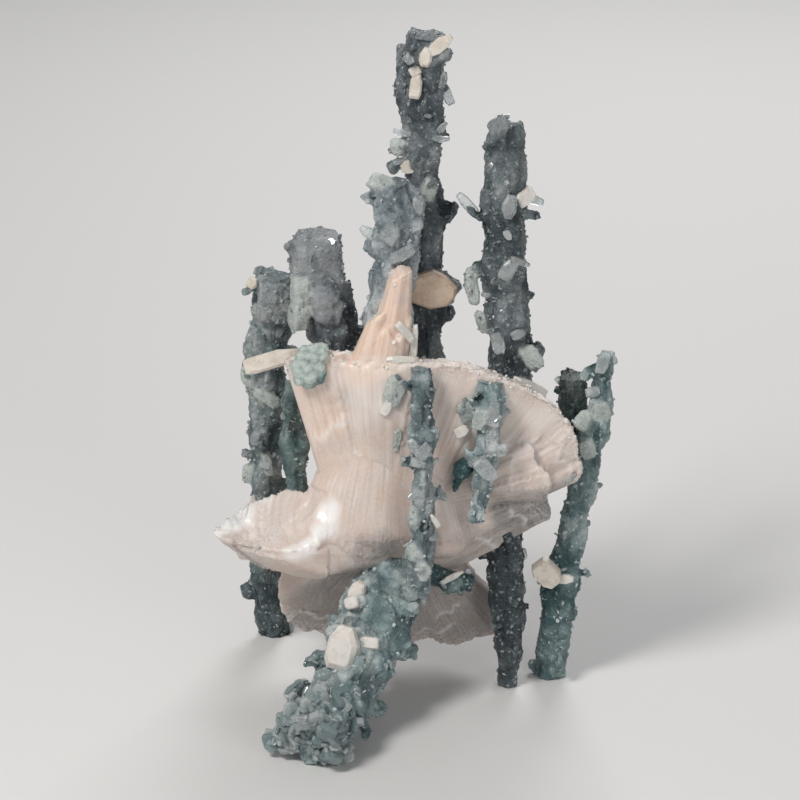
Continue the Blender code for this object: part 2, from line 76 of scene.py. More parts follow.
# A sheaf fans out from its root to its tip. root_half is its half width and half thickness at the root,
# spread is how far its width opens to each side in degrees, tip_thickness is its half thickness at the
# tip, and facing is the way its broad side looks. crown is how far its end bulges, as a share of its
# length, slant makes the laths of the broad side longer, and reach is the length of the laths from one
# side of the fan to the other, as a share of the sheaf's own. ledges are the shares of its length where
# outer plates break off, grain is how rough its end is, and relief is how deep the ridges of its faces are.
SHEAF_FIELDS = ("root", "tip", "facing", "root_half", "spread", "tip_thickness", "crown", "slant",
                "reach", "ledges", "grain", "relief")
SHEAF_VALUES = {
    "great_fan": ((-1, 2.4, 35), (14.5, 1.0, 81.5), (0, -1, 0.05), (6.0, 8.0), 42, 10.8, 0.03, 0.1,
        (1.04, 0.94, 0.935, 0.96, 1.0, 1.01, 1.02, 0.97, 0.8), (0.5, 0.72), 1.0, 1.0),
    "left_fan": ((-6.5, 3, 33), (-18.0, 2.4, 84.0), (-0.3, -1, 0), (6.0, 7.0), 3, 9.6, 0.02, 0.08,
        (1.0, 1.0), (0.46, 0.74), 0.8, 1.0),
    "right_fan": ((10, 0, 48), (37.0, 0.2, 65.4), (0.25, -1, 0), (8.0, 8.0), 8, 8.4, 0.05, 0.08,
        (1.03, 0.94, 1.01, 1.04, 0.93, 1.0, 0.97, 0.86), (0.6, 0.84), 0.8, 1.9),
    "ridged_fan": ((12, -4, 53), (33.0, -6.4, 59.0), (0.1, -1, -0.1), (4.6, 4.6), 12, 4.6, 0.03, 0.1,
        (1.0, 0.94, 1.02, 0.97, 0.9), (0.7,), 0.6, 1.9),
    "lower_right_fan": ((4, 1, 35), (31.6, 0.4, 51.4), (0.3, -1, -0.3), (7.0, 7.0), 2, 8.0, 0.08, 0.0,
        (1.0, 1.0), (0.6, 0.85), 0.6, 1.9),
    "left_back_wing": ((-3, 8, 35), (-36.0, 24, 33), (0, -0.4, 1), (7.0, 6.5), 5, 6.4, 0.05, 0.0,
        (1.0, 1.0), (0.6, 0.85), 1.0, 1.0),
    "bottom_fan": ((-2.0, 6, 38), (-8.4, 17.4, 8.6), (0, -1, -0.3), (9.0, 8.0), 54, 6.6, 0.04, 0.06,
        (0.86, 1.02, 0.93, 1.0, 0.84, 0.9, 1.02, 0.94, 1.0, 0.92, 1.0, 0.93, 0.82, 0.66, 0.54),
        (0.62, 0.86), 1.0, 1.0),
    "low_lobe": ((6, -1, 60), (11.0, -6.6, 40.4), (0.3, -1, 0), (5.0, 6.0), 5, 6.0, 0.14, 0.0, (1.0, 1.0),
        (), 0.0, 0.45),
    "left_low_lobe": ((-6, 1.6, 67), (-10.6, -3.2, 42.0), (-0.2, -1, 0), (8.0, 7.0), 14, 7.4, 0.16, 0.0,
        (1.0, 1.0), (), 0.0, 0.45),
    "back_fan": ((0, 4, 36), (8, 26, 65), (0.1, 1, -0.4), (8.0, 7.0), 13, 8.0, 0.05, 0.05,
        (0.92, 1.02, 0.94, 1.0, 0.96, 1.03, 0.9), (0.5, 0.7), 1.0, 1.9),
    "back_right_fan": ((4, 5, 36), (29.4, 22.6, 46), (0.2, 1, 0.2), (8.0, 6.0), 8, 7.0, 0.05, 0.06,
        (0.93, 1.01, 0.94, 1.02, 0.92), (0.6,), 1.0, 1.9),
    "back_low_fan": ((0, 8, 36), (4, 30.4, 19.4), (0, 0.5, -1), (8.0, 6.0), 16, 6.0, 0.05, 0.0,
        (0.9, 1.0, 0.93, 1.02, 0.95, 1.0), (0.6,), 1.0, 1.9),
    "spike_main": ((-4.2, -1.6, 78.0), (0.5, -5.4, 108.2), (0.2, -1, 0), (6.0, 5.6), -7, 2.6, 0.0, 0.0,
        (0.93, 1.0, 1.01), (0.62,), 0.5, 0.45),
    "spike_left": ((-9.0, -2.0, 78.5), (-4.2, -6.0, 98.6), (-0.5, -1, 0), (4.6, 5.0), -8, 2.2, 0.0, 0.0,
        (0.8, 0.94, 1.04), (), 0.4, 0.45),
    "spike_base": ((-4.8, -2.6, 77.5), (-2.2, -6.8, 94.0), (0.1, -1, 0), (5.0, 4.4), -6, 2.4, 0.0, 0.0,
        (0.9, 1.06, 0.86, 1.0), (), 0.4, 0.45),
}
SHEAVES = {name: dict(zip(SHEAF_FIELDS, row)) for name, row in SHEAF_VALUES.items()}
SECTION_POWER = 0.75
STRAIGHT_SPREAD = 0.35
TURN_ROUNDS = 10
SHEAF_AROUND = 64
SHEAF_ROWS = 18
SHEAF_END_ROWS = 6

# How deep the ridges of each sheaf are, and last those of the left wing.
RIDGE_DEPTHS = np.array([sheaf["relief"] for sheaf in SHEAVES.values()] + [1.0])

# The left wing runs from an ellipse at its root to the rim of its slanting, dished end.
WING_ROOT = (-5, 1.5, 38)
WING_ROOT_HALF = (8.0, 8.5)
WING_RIM = [
    (-44.8, -8.2, 44.6), (-37.0, -1.0, 48.6), (-28.0, 4.0, 50.4), (-21.0, -2.0, 50.6), (-17.8, -8.0, 48.2),
    (-19.0, -13.0, 43.9), (-24.4, -15.0, 41.8), (-31.0, -14.4, 42.2), (-38.0, -12.4, 42.8),
    (-43.6, -10.0, 43.4),
]
WING_DISH = 2.0
WING_SAG = 5.0
WING_LINES = 0.9
WING_GIRTH = 11.0

# The left wing is below these corners of the layout, and its end is this far from the rim's plane.
WING_REGION = (-17.0, 7.5, 53.0)
WING_END_FROM = -2.6
WING_END_TO = -1.9

CLUSTER_VOXEL = 0.55
CLUSTER_SMOOTHING = 2

# Places where the sheaves run into each other softly: (place, reach in millimetres).
SOFT_JOINTS = [
    ((-12, -6, 46), 13), ((2, -9, 44), 9), ((-5, -9, 82), 8), ((-17, -8, 81), 7), ((14, -9, 48), 8),
    ((-9, -9, 60), 12), ((1, -9, 52), 10),
]
SOFT_ROUNDS = 60
SOFT_PULL = 0.6
JOINT_CALM = 0.6

# The relief of the sheaves' faces: widths and lengths of its forms, and how deep they are.
GROUP_STEP = 17.0
BACK_SHIFT = 30.0
SIDE_SHIFT = 60.0
SIDE_START = 0.93
LATH_WIDTH = 1.5
LATH_LENGTH = 30.0
LATH_RELIEF = 0.14
FINE_LATHS = 2.3
FINE_LENGTH = 22.0
VALLEY_WIDTH = 8.0
VALLEY_LENGTH = 60.0
VALLEY_DEPTH = 0.5
FLANK_RELIEF = 0.35
RIM_RELIEF = 0.3
DISH_PLATE_WIDTH = 2.6
DISH_PLATE_STEP = 0.9

# Plates side by side along the laths: (width, how far their levels differ, seed).
PLATES = [(7.5, 0.42, 1), (2.4, 0.16, 2)]
LEDGE_DEPTH = 0.55
LEDGE_SHARP = 0.012
END_GRAIN = 0.9

# How the edge of a ledge wanders, and how rough a sheaf's end is: (waves in a millimetre, size, seed).
LEDGE_WAVES = [(0.09, 0.20, 1), (0.35, 0.06, 2), (1.2, 0.03, 3)]
GRAIN_WAVES = [(0.8, 0.6, 16), (2.0, 0.35, 17), (0.3, 0.7, 18)]

# How ragged the borders of the soft spots of colour are.
SPOT_WAVES = 0.22
SPOT_RAGGEDNESS = 0.45

# Soft spots of colour on the cluster: (place, reach in millimetres, strength).
PEACH_SPOTS = [
    ((-21, -6, 72), 10, 0.55), ((-20, -5, 58), 8, 0.35), ((-10, -12, 62), 9, 0.35), ((-2, -12, 56), 7, 0.4),
    ((11, -12, 62), 6, 0.5), ((0, -6, 108), 9, 0.8), ((-4, -8, 94), 10, 1.0), ((-7, -9, 86), 8, 0.9),
    ((-17, -4, 84), 6, 0.6),
]
# These spots are partly the stone's smoky colour and partly painted shade: on the grey underside at the lower
# right, on the bottom fan near the floor, and under the hub and the left wing.
SHADE_SPOTS = [
    ((30, -4, 47), 13, 0.95), ((21, -5, 38), 13, 0.6), ((-5, -9, 40), 6, 0.6), ((0, 6, 16), 24, 0.75),
    ((-14, 10, 14), 18, 0.75), ((14, 10, 16), 16, 0.7), ((-9, -12, 33), 8, 0.75), ((-6, -11, 37), 7, 0.75),
    ((-30, 4, 33), 12, 0.35), ((-38, -9, 38), 8, 0.2),
]
# These spots are painted highlights: the bright crescent and prow of the left wing, and the lit upper fronts
# of the fans.
PAINTED_HIGHLIGHT_SPOTS = [
    ((-17.5, -9, 49), 4.5, 1.0), ((-18.5, -12, 46), 5.0, 1.0), ((-21, -14, 43.5), 4.5, 1.0),
    ((-25, -15, 42), 3.5, 0.8), ((-42, -6, 46), 5.0, 0.9), ((-37, -3, 48), 5.0, 0.9),
    ((-32, 0, 50), 4.0, 0.7), ((34, -6, 74), 7.0, 0.5), ((-6, -12, 80), 12.0, 0.35),
    ((20, -12, 76), 10.0, 0.3),
]

# Each stalactite: its slot, how teal it is from 0 to 1, how light its coat is, how far the coat is drawn
# in, in millimetres, and the seed of its lumps and crystals.
STALACTITE_FIELDS = ("slot", "teal", "light", "slim", "seed")
STALACTITE_VALUES = {
    "stalactite_tall": (GREY_SLOT, 0.1, 0.74, 0.1, 1),
    "stalactite_short": (GREY_SLOT, 0.1, 1.3, 0.0, 2),
    "stalactite_left_upper": (GREY_SLOT, 0.05, 0.82, 0.0, 3),
    "stalactite_left_leg": (GREEN_SLOT, 0.4, 0.92, 0.1, 4),
    "stalactite_left_stub": (GREEN_SLOT, 0.9, 0.9, 0.0, 5),
    "stalactite_rear_leg": (GREEN_SLOT, 0.2, 0.72, 0.0, 6),
    "stalactite_right_leg": (GREEN_SLOT, 0.65, 1.4, 0.1, 7),
    "stalactite_right_stub": (GREEN_SLOT, 0.9, 0.5, 0.0, 8),
    "stalactite_fan_middle": (GREY_SLOT, 0.35, 1.15, 0.5, 9),
    "stalactite_fan_right": (GREY_SLOT, 0.5, 1.45, 0.3, 10),
    "stalactite_foot": (GREEN_SLOT, 0.55, 1.4, 0.0, 11),
    "stalactite_under_stub": (GREEN_SLOT, 0.7, 1.2, 0.0, 12),
}
STALACTITES = {node: dict(zip(STALACTITE_FIELDS, row)) for node, row in STALACTITE_VALUES.items()}

# Soft dark and pale places on the coats: (place, reach in millimetres, strength).
DARK_COAT_SPOTS = [
    ((25, 1, 24), 26, 0.75), ((25, 1, 58), 16, 0.6), ((25, 1, 88), 12, 0.45), ((24, 1, 112), 12, 0.4),
    ((-32, 33, 8), 16, 0.7), ((-28, 22, 76), 7, 0.7), ((-28, 24, 58), 12, 0.5), ((1, 15, 146), 9, 0.6),
    ((6, 15, 118), 10, 0.35), ((6, 15, 92), 12, 0.5), ((-14, 12, 88), 9, 0.6), ((4.6, -14, 78), 6, 0.45),
    ((5.4, -15, 66), 6, 0.35), ((37, 7, 26), 8, 0.45), ((44, 6, 62), 7, 0.5),
]
PALE_COAT_SPOTS = [
    ((-20, 12, 96), 6, 0.5), ((-33, 20, 66), 9, 0.35), ((-1, 4, 100), 9, 0.4), ((20, -12, 66), 9, 0.7),
    ((5, -16, 54), 7, 0.5), ((38, 7, 10), 9, 0.4), ((-12, -26, 24), 12, 0.35), ((-21, -42, 8), 10, 0.35),
]
COAT_VOXEL = 0.42
COAT_SINK = 0.8

# The lumps of the coats: how many in a millimetre, and how high they rise. Where a lobe is, they are flat.
LUMP_MIDDLE = 0.42
LARGE_LUMPS = 0.24
LARGE_RISE = 2.3
SMALL_LUMPS = 0.62
SMALL_RISE = 0.55
GRAIN_RISE = 0.12
STREAK_RISE = 0.3
LOBE_FLATNESS = 0.9
TOP_CALM = 0.6

# The meshes of the druse patches and the cores, and the gap that is kept above the floor.
LOBE_VOXEL = 0.35
FLOOR_GAP = 0.02
CORE_VOXEL = 1.1
CORE_SMOOTHING = 12
CORE_DEPTH = 1.3

# Scattered crystals: (how many on a square centimetre, (least length, most), how far their depths differ).
LARGE_CRYSTALS = (1.3, (1.4, 2.8), 1.3)
SMALL_CRYSTALS = (14.0, (0.6, 1.3), 0.8)
RIM_GRAINS = (30.0, (0.6, 1.4), 1.6)
FOOT_BLADES = (26.0, (2.4, 5.0), 0.6)
RIM_SEED = 71
FOOT_SEED = 91

# Kinds of single crystals that are grown into the coats: how boxy they are, from 0 for a box to 1 for an
# ellipsoid.
LOBE_KINDS = {"mint": 0.62, "grey": 0.40}

# Single crystals that stand out in the photo, by kind: (where the camera sees the middle in pixels across
# and down, depth, length, width, thickness, degrees that its length leans clockwise from upright).
NOTABLE_CRYSTALS = {
    "mint": [
        (397, 147, 13.0, 4.2, 3.8, 1.8, 10), (382, 184, 0.4, 6.4, 4.6, 3.0, -35),
        (429, 190, 0.8, 6.0, 4.0, 3.0, 20), (300, 292, 7.6, 7.4, 4.6, 6.2, 2),
        (299, 316, 7.2, 7.4, 5.0, 6.2, 5), (267, 398, 18.6, 7.4, 3.0, 2.2, 118),
        (268, 465, 21.6, 6.2, 2.8, 2.0, -6), (248, 474, 23.0, 5.4, 3.4, 1.8, 4),
        (247, 376, 20.6, 5.0, 3.4, 2.0, -20), (472, 286, 0.4, 9.6, 3.2, 2.0, -5),
        (481, 322, -2.6, 6.0, 2.6, 1.6, -18), (532, 358, -0.6, 6.4, 4.4, 2.4, -40),
        (602, 412, 1.4, 5.2, 4.6, 1.8, 0), (583, 421, 1.0, 5.0, 4.2, 1.8, 30),
        (588, 450, 1.0, 5.0, 4.4, 1.8, -20), (394, 392, -15.0, 8.0, 5.6, 2.4, 22),
        (397, 441, -16.6, 6.2, 2.8, 1.8, 14), (413, 516, -18.6, 5.0, 2.6, 1.6, -10),
        (410, 552, -16.8, 4.6, 3.8, 2.2, 0), (424, 572, -15.4, 4.4, 3.6, 2.2, 40),
        (466, 412, -14.0, 5.6, 4.2, 2.2, -20), (479, 420, -15.2, 5.4, 4.0, 2.0, 12),
    ],
    "grey": [
        (317, 264, 11.6, 15.8, 12.2, 11.0, 1), (323, 306, 6.6, 8.0, 5.0, 3.4, -6),
        (333, 312, 6.0, 6.4, 4.6, 2.4, 15), (275, 303, 16.2, 9.4, 8.6, 4.0, 3),
        (499, 126, -1.6, 5.4, 4.6, 2.4, 20), (494, 415, -15.0, 6.2, 3.6, 2.2, 5),
    ],
    "cream": [
        (440, 45, 10.2, 6.6, 3.2, 2.4, 55), (426, 57, 9.8, 4.6, 3.0, 2.2, 8),
        (415, 71, 12.0, 2.6, 2.2, 1.4, 60), (416, 86, 11.4, 6.0, 2.8, 1.8, 4),
        (408, 167, 11.0, 3.4, 3.2, 1.6, 80), (252, 283, 18.4, 2.8, 2.6, 2.0, 30),
        (547, 573, 1.6, 7.4, 5.6, 3.4, -38), (272, 360, 0.6, 13.4, 4.0, 3.2, 72),
    ],
    "white": [
        (525, 197, -2.0, 4.8, 3.6, 2.0, 75), (564, 579, 1.2, 4.6, 2.4, 1.6, 95),
        (387, 408, -16.0, 4.2, 2.4, 1.4, 30), (435, 521, -17.4, 3.8, 1.4, 1.0, -35),
        (462, 431, -14.2, 3.6, 2.6, 1.6, 60), (343, 648, -31.5, 10.4, 7.2, 4.6, 10),
        (368, 643, -30.6, 5.0, 2.8, 2.2, 92), (357, 592, -24.6, 5.4, 3.8, 3.0, 30),
        (352, 603, -25.6, 3.4, 3.0, 2.4, 80), (402, 361, -12.4, 7.6, 2.2, 2.4, 84),
        (414, 343, -9.4, 9.0, 1.7, 1.3, 3), (405, 332, -9.2, 6.2, 2.0, 1.2, -48),
        (452, 577, -11.4, 6.0, 1.5, 1.0, 62), (530, 386, -4.0, 11.0, 2.4, 2.6, 115),
    ],
    "clear": [
        (409, 59, 12.4, 2.4, 1.8, 1.4, -30), (447, 94, 13.0, 5.4, 2.2, 1.2, 160),
        (443, 80, 13.0, 4.0, 2.0, 1.2, 20), (441, 129, 12.0, 4.2, 1.6, 1.0, 70),
        (441, 139, 12.0, 4.0, 1.5, 1.0, 105), (403, 133, 12.0, 4.6, 1.6, 1.0, 92),
        (417, 207, -1.0, 4.4, 3.0, 2.0, 35), (369, 233, 1.0, 4.6, 2.6, 1.4, -50),
        (391, 234, -2.0, 4.8, 4.2, 1.8, 30), (403, 254, -3.0, 6.4, 2.8, 2.0, 70),
        (256, 438, 22.0, 4.0, 2.4, 1.8, 10), (468, 205, -0.4, 7.0, 2.4, 1.4, -42),
        (534, 200, -1.4, 4.6, 2.2, 1.4, 100), (509, 207, -3.4, 5.6, 3.4, 1.8, 12),
        (520, 262, -3.2, 5.0, 1.6, 1.4, 115), (508, 270, -3.2, 5.0, 3.4, 2.0, 30),
        (498, 343, -3.4, 5.0, 2.8, 2.4, 2), (518, 334, -1.4, 3.4, 2.4, 1.6, 60),
        (603, 362, 2.6, 5.6, 3.0, 1.6, 8), (593, 392, 1.6, 3.6, 2.6, 1.4, 80),
        (570, 478, 1.0, 3.6, 1.6, 1.2, 75), (414, 446, -19.0, 3.8, 2.4, 1.6, -30),
        (424, 452, -19.2, 4.0, 3.0, 1.6, 50), (418, 463, -19.4, 3.6, 2.2, 1.4, 100),
        (486, 470, -16.4, 6.4, 3.8, 1.6, -38), (478, 461, -16.2, 4.6, 2.2, 1.2, 60),
        (335, 632, -31.0, 4.4, 3.4, 2.0, 60), (300, 722, -48.6, 5.6, 3.8, 2.0, 75),
        (288, 740, -49.0, 4.6, 3.0, 1.8, -20),
    ],
}
REST_REACH = 10.0
REST_TRIES = 60
THICK_BLOCK = 6.0

# The peach blade beside the tall stalactite: the pixels of its outline, its depth and its thickness.
PEACH_BLADE = [(408, 300), (410, 277), (433, 270), (446, 276), (457, 287), (455, 297), (447, 305), (430, 308)]
PEACH_BLADE_DEPTH = 7.8
PEACH_BLADE_THICKNESS = 3.0

# Where the glassy blades crowd round the end of the foot, how far they reach and how high they start.
FOOT_END = (-21.5, -43.0, 9.0)
FOOT_END_REACH = 13.0
FOOT_BLADE_START = 2.5
FOOT_GLASS_LIGHT = 1.3

# Oval patches of druse on the cluster: (pixels, depth, (half width, half height, half depth)).
DRUSE_PATCHES = [
    (311, 366, -6.6, (4.0, 5.6, 2.2)),
    (461, 474, -10.6, (1.6, 4.6, 1.4)),
    (316, 552, -9.0, (3.2, 1.8, 1.6)),
]
PATCH_LEAN = 25
PATCH_TINT = (1.0, 1.35)

# Colours of the sheaves.
PINK_DEEP = (0.59, 0.49, 0.44)
PINK_PALE = (0.77, 0.69, 0.645)
PINK_CLOUD = (0.65, 0.52, 0.45)
PEACH_DEEP = (0.75, 0.52, 0.39)
PEACH_PALE = (0.85, 0.68, 0.57)
# Smoky brown, which also serves as painted shade on the undersides and low parts of the cluster.
SMOKE_AND_SHADE_DEEP = (0.20, 0.185, 0.175)
SMOKE_AND_SHADE_PALE = (0.35, 0.325, 0.31)
# White of the torn edges and grainy ends, also used for the painted highlights.
WHITE_EDGE_AND_HIGHLIGHT = (0.91, 0.88, 0.86)

# Colours of the coats, grey and teal: the dark, the middle and the pale one.
GREY_COAT = ((0.080, 0.100, 0.118), (0.30, 0.345, 0.38), (0.59, 0.62, 0.64))
TEAL_COAT = ((0.030, 0.092, 0.095), (0.23, 0.345, 0.335), (0.53, 0.61, 0.57))
GREY_LOBE = (0.50, 0.52, 0.535)
MINT_LOBE = (0.80, 0.86, 0.81)
COAT_SPECK = (0.82, 0.86, 0.85)
GLASS_WHITE = (0.86, 0.90, 0.90)
CORE_DEEP = (0.010, 0.022, 0.026)
CORE_PALE = (0.03, 0.075, 0.08)
LIGHTEST = 0.85

# Colours of the single crystals and how clear they are: (deep, pale, clear).
RIM_SUGAR = ((0.78, 0.70, 0.65), (0.88, 0.85, 0.82), 0.0)
PEACH_TABLET = ((0.70, 0.52, 0.38), (0.80, 0.66, 0.53), 0.10)
TABLETS = {
    "cream": (PINK_SLOT, (0.67, 0.60, 0.52), (0.81, 0.75, 0.67), 0.10),
    "white": (PINK_SLOT, (0.77, 0.73, 0.68), (0.85, 0.81, 0.76), 0.12),
    "clear": (GREY_SLOT, (0.66, 0.72, 0.73), (0.92, 0.94, 0.94), 0.70),
}
CRYSTAL_IOR = 1.5
COAT_IOR = 1.45
COAT_CLEAR = 0.32
GLASS_CLEAR = 0.6
GLOW_BELOW = 0.3
GRAIN_CLEAR = 0.3


def layout_point(x, y, z):
    return (Vector((x, y, z)) - FOOTPRINT_CENTRE) * MM


def layout_places(points):
    """An array of points in metres as places in the layout, in millimetres."""
    return points / MM + np.array(FOOTPRINT_CENTRE)


def seen_at(column, row, depth):
    """The layout point at this depth that the camera sees at a pixel of the photo's frame."""
    rise = math.radians(CAMERA_ELEVATION)
    pixel = VIEW_WIDTH / FRAME_PIXELS / CAMERA_DISTANCE
    across = (column - FRAME_PIXELS / 2) * pixel
    up = (FRAME_PIXELS / 2 - row) * pixel
    away = Vector((0, math.cos(rise), -math.sin(rise)))
    way = away + Vector((1, 0, 0)) * across + Vector((0, math.sin(rise), math.cos(rise))) * up
    start = Vector(CAMERA_TARGET) - away * CAMERA_DISTANCE
    return start + way * ((depth - start.y) / way.y)


# Meshes

def linked_object(name, data):
    obj = bpy.data.objects.new(name, data)
    bpy.context.scene.collection.objects.link(obj)
    return obj


def object_from(bm, name):
    """A new object of the finished mesh; bm is used up."""
    mesh = bpy.data.meshes.new(name)
    bm.to_mesh(mesh)
    bm.free()
    return linked_object(name, mesh)


def set_point_values(obj, **values):
    for name, numbers in values.items():
        layer = obj.data.attributes.new(name, "FLOAT", "POINT")
        layer.data.foreach_set("value", np.asarray(numbers, dtype=np.float32))


def vectors_of(parts, field):
    """One vector of each vertex or face, as an array."""
    values = np.empty(len(parts) * 3)
    parts.foreach_get(field, values)
    return values.reshape(-1, 3)


def mesh_points(obj):
    return vectors_of(obj.data.vertices, "co")


def mesh_normals(obj):
    return vectors_of(obj.data.vertices, "normal")


def move_points(obj, points):
    obj.data.vertices.foreach_set("co", points.reshape(-1))
    obj.data.update()


def remesh(obj, voxel, smoothing=0):
    """The object's mesh as one even skin of small quads."""
    modifier = obj.modifiers.new("remesh", "REMESH")
    modifier.mode = "VOXEL"
    modifier.voxel_size = voxel * MM
    if smoothing:
        smooth = obj.modifiers.new("smooth", "SMOOTH")
        smooth.iterations = smoothing
        smooth.factor = 0.5
    bpy.context.view_layer.update()
    graph = bpy.context.evaluated_depsgraph_get()
    mesh = bpy.data.meshes.new_from_object(obj.evaluated_get(graph))
    obj.modifiers.clear()
    obj.data = mesh


def rows_of(*columns):
    """An array with these columns; a plain number fills its column."""
    return np.stack(np.broadcast_arrays(*columns), axis=1)


def noise_at(points, seed):
    """Smooth noise from -1 to 1 at each of an array of points."""
    shift = Vector((seed * 7.13, seed * 3.71, seed * 1.37))
    return np.array([noise.noise(Vector(point) + shift) for point in points])


def smooth_step(values, low, high):
    t = np.clip((values - low) / (high - low), 0.0, 1.0)
    return t * t * (3.0 - 2.0 * t)


# The cluster of sheaves

def sheaf_frame(sheaf):
    """(root, axis, width way, thickness way, length, the half angles that it spreads by)."""
    root = Vector(sheaf["root"])
    run = Vector(sheaf["tip"]) - root
    axis = run.normalized()
    facing = Vector(sheaf["facing"])
    thick_way = (facing - axis * facing.dot(axis)).normalized()
    width_way = axis.cross(thick_way)
    thick_spread = math.atan2(sheaf["tip_thickness"] - sheaf["root_half"][1], run.length)
    return root, axis, width_way, thick_way, run.length, (math.radians(sheaf["spread"]), thick_spread)


def lath_reach(sheaf, u, v):
    """How long the lath at (u, v) is, as a share of its sheaf's length."""
    sides = np.linspace(-1.0, 1.0, len(sheaf["reach"]))
    return np.interp(u, sides, sheaf["reach"]) * (1.0 + sheaf["slant"] * v)


def boxed(value, power):
    """A value from -1 to 1, drawn out towards the nearer end where the power is below 1."""
    return math.copysign(abs(value) ** power, value)


def section(turn, power):
    """A point of a sheaf's cross-section: an ellipse at power 1, drawn out towards a rectangle below it."""
    return boxed(math.cos(turn), power), boxed(math.sin(turn), power)


def sheaf_point(sheaf, u, v, t):
    """The place a share t up the lath that starts at (u, v) of the root's ellipse, in metres."""
    root, axis, width_way, thick_way, length, spread = sheaf_frame(sheaf)
    foot_w, foot_t = sheaf["root_half"]
    turn_w = u * spread[0]
    turn_t = v * spread[1]
    level = axis * math.cos(turn_w) + width_way * math.sin(turn_w)
    way = level * math.cos(turn_t) + thick_way * math.sin(turn_t)
    run = length * t * float(lath_reach(sheaf, u, v))
    place = root + width_way * foot_w * u + thick_way * foot_t * v + way * run
    return (place - FOOTPRINT_CENTRE) * MM


def add_rings(bm, rings):
    """Faces between rings of points that follow each other, closed at both ends."""
    rows = [[bm.verts.new(point) for point in ring] for ring in rings]
    for ring, above in zip(rows, rows[1:]):
        for i in range(len(ring)):
            j = (i + 1) % len(ring)
            bm.faces.new((ring[i], ring[j], above[j], above[i]))
    bm.faces.new(rows[0][::-1])
    bm.faces.new(rows[-1])


def add_smooth_sheaf(bm, sheaf):
    """Adds one sheaf's plain closed form, with its bulging end."""
    rows = [(1.0, row / (SHEAF_ROWS - 1)) for row in range(SHEAF_ROWS)]
    for row in range(1, SHEAF_END_ROWS):
        inward = 1.0 - row / SHEAF_END_ROWS
        rows.append((inward, 1.0 + sheaf["crown"] * (1.0 - inward * inward)))
    power = SECTION_POWER if sheaf["grain"] else 1.0
    sides = [section(math.tau * i / SHEAF_AROUND, power) for i in range(SHEAF_AROUND)]
    rings = [[sheaf_point(sheaf, reach * u, reach * v, share) for u, v in sides] for reach, share in rows]
    add_rings(bm, rings)


def wing_frame():
    """(root, rim points, rim centre, the way its end looks, width way, thickness way)."""
    root = Vector(WING_ROOT)
    rim = [Vector(point) for point in WING_RIM]
    centre = sum(rim, Vector()) / len(rim)
    _, _, ways = np.linalg.svd(np.array([point - centre for point in rim]))
    outward = Vector(ways[2])
    if outward.dot(centre - root) < 0:
        outward = -outward
    axis = (centre - root).normalized()
    width_way = axis.cross(Vector((0, -1, 0))).normalized()
    return root, rim, centre, outward, width_way, axis.cross(width_way)


def add_wing(bm):
    """Adds the left wing: drawn out from its root to its rim, with a dished end."""
    root, rim, centre, outward, width_way, thick_way = wing_frame()
    smooth_rim = []
    for i in range(SHEAF_AROUND):
        place = i / SHEAF_AROUND * len(rim)
        k = int(place)
        smooth_rim.append(rim[k].lerp(rim[(k + 1) % len(rim)], place - k))
    rings = []
    for row in range(SHEAF_ROWS):
        share = row / (SHEAF_ROWS - 1)
        ring = []
        for point in smooth_rim:
            away = point - centre
            turn = math.atan2(away.dot(thick_way), away.dot(width_way))
            start = root + width_way * WING_ROOT_HALF[0] * math.cos(turn)
            start += thick_way * WING_ROOT_HALF[1] * math.sin(turn)
            low = max(0.0, min(1.0, (centre.z + 1.0 - point.z) / 3.0))
            sag = WING_SAG * math.sin(math.pi * share ** 1.6) * low
            ring.append((start.lerp(point, share) - Vector((0, 0, sag)) - FOOTPRINT_CENTRE) * MM)
        rings.append(ring)
    for row in range(1, SHEAF_END_ROWS):
        inward = 1.0 - row / SHEAF_END_ROWS
        sink = outward * WING_DISH * (1.0 - inward * inward)
        rings.append([(centre.lerp(point, inward) - sink - FOOTPRINT_CENTRE) * MM for point in smooth_rim])
    add_rings(bm, rings)


def lath_turn(wide, ahead, foot, spread):
    """Which lath, from -1 to 1 across a sheaf, passes through each point of its broad plane."""
    if abs(spread) < STRAIGHT_SPREAD:
        return wide / np.maximum(foot + ahead * np.tan(spread), 1.0)
    turn = wide / np.maximum(foot + np.abs(ahead) * math.tan(abs(spread) * 0.8), 1.0)
    turn = np.clip(turn, -1.1, 1.1)
    for _ in range(TURN_ROUNDS):
        steer = np.clip(turn * spread, -1.35, 1.35)
        miss = wide - foot * turn - np.maximum(ahead, 0.5) * np.tan(steer)
        slope = foot + np.maximum(ahead, 0.5) * spread / np.cos(steer) ** 2
        turn = np.clip(turn + miss / slope, -1.25, 1.25)
    return turn


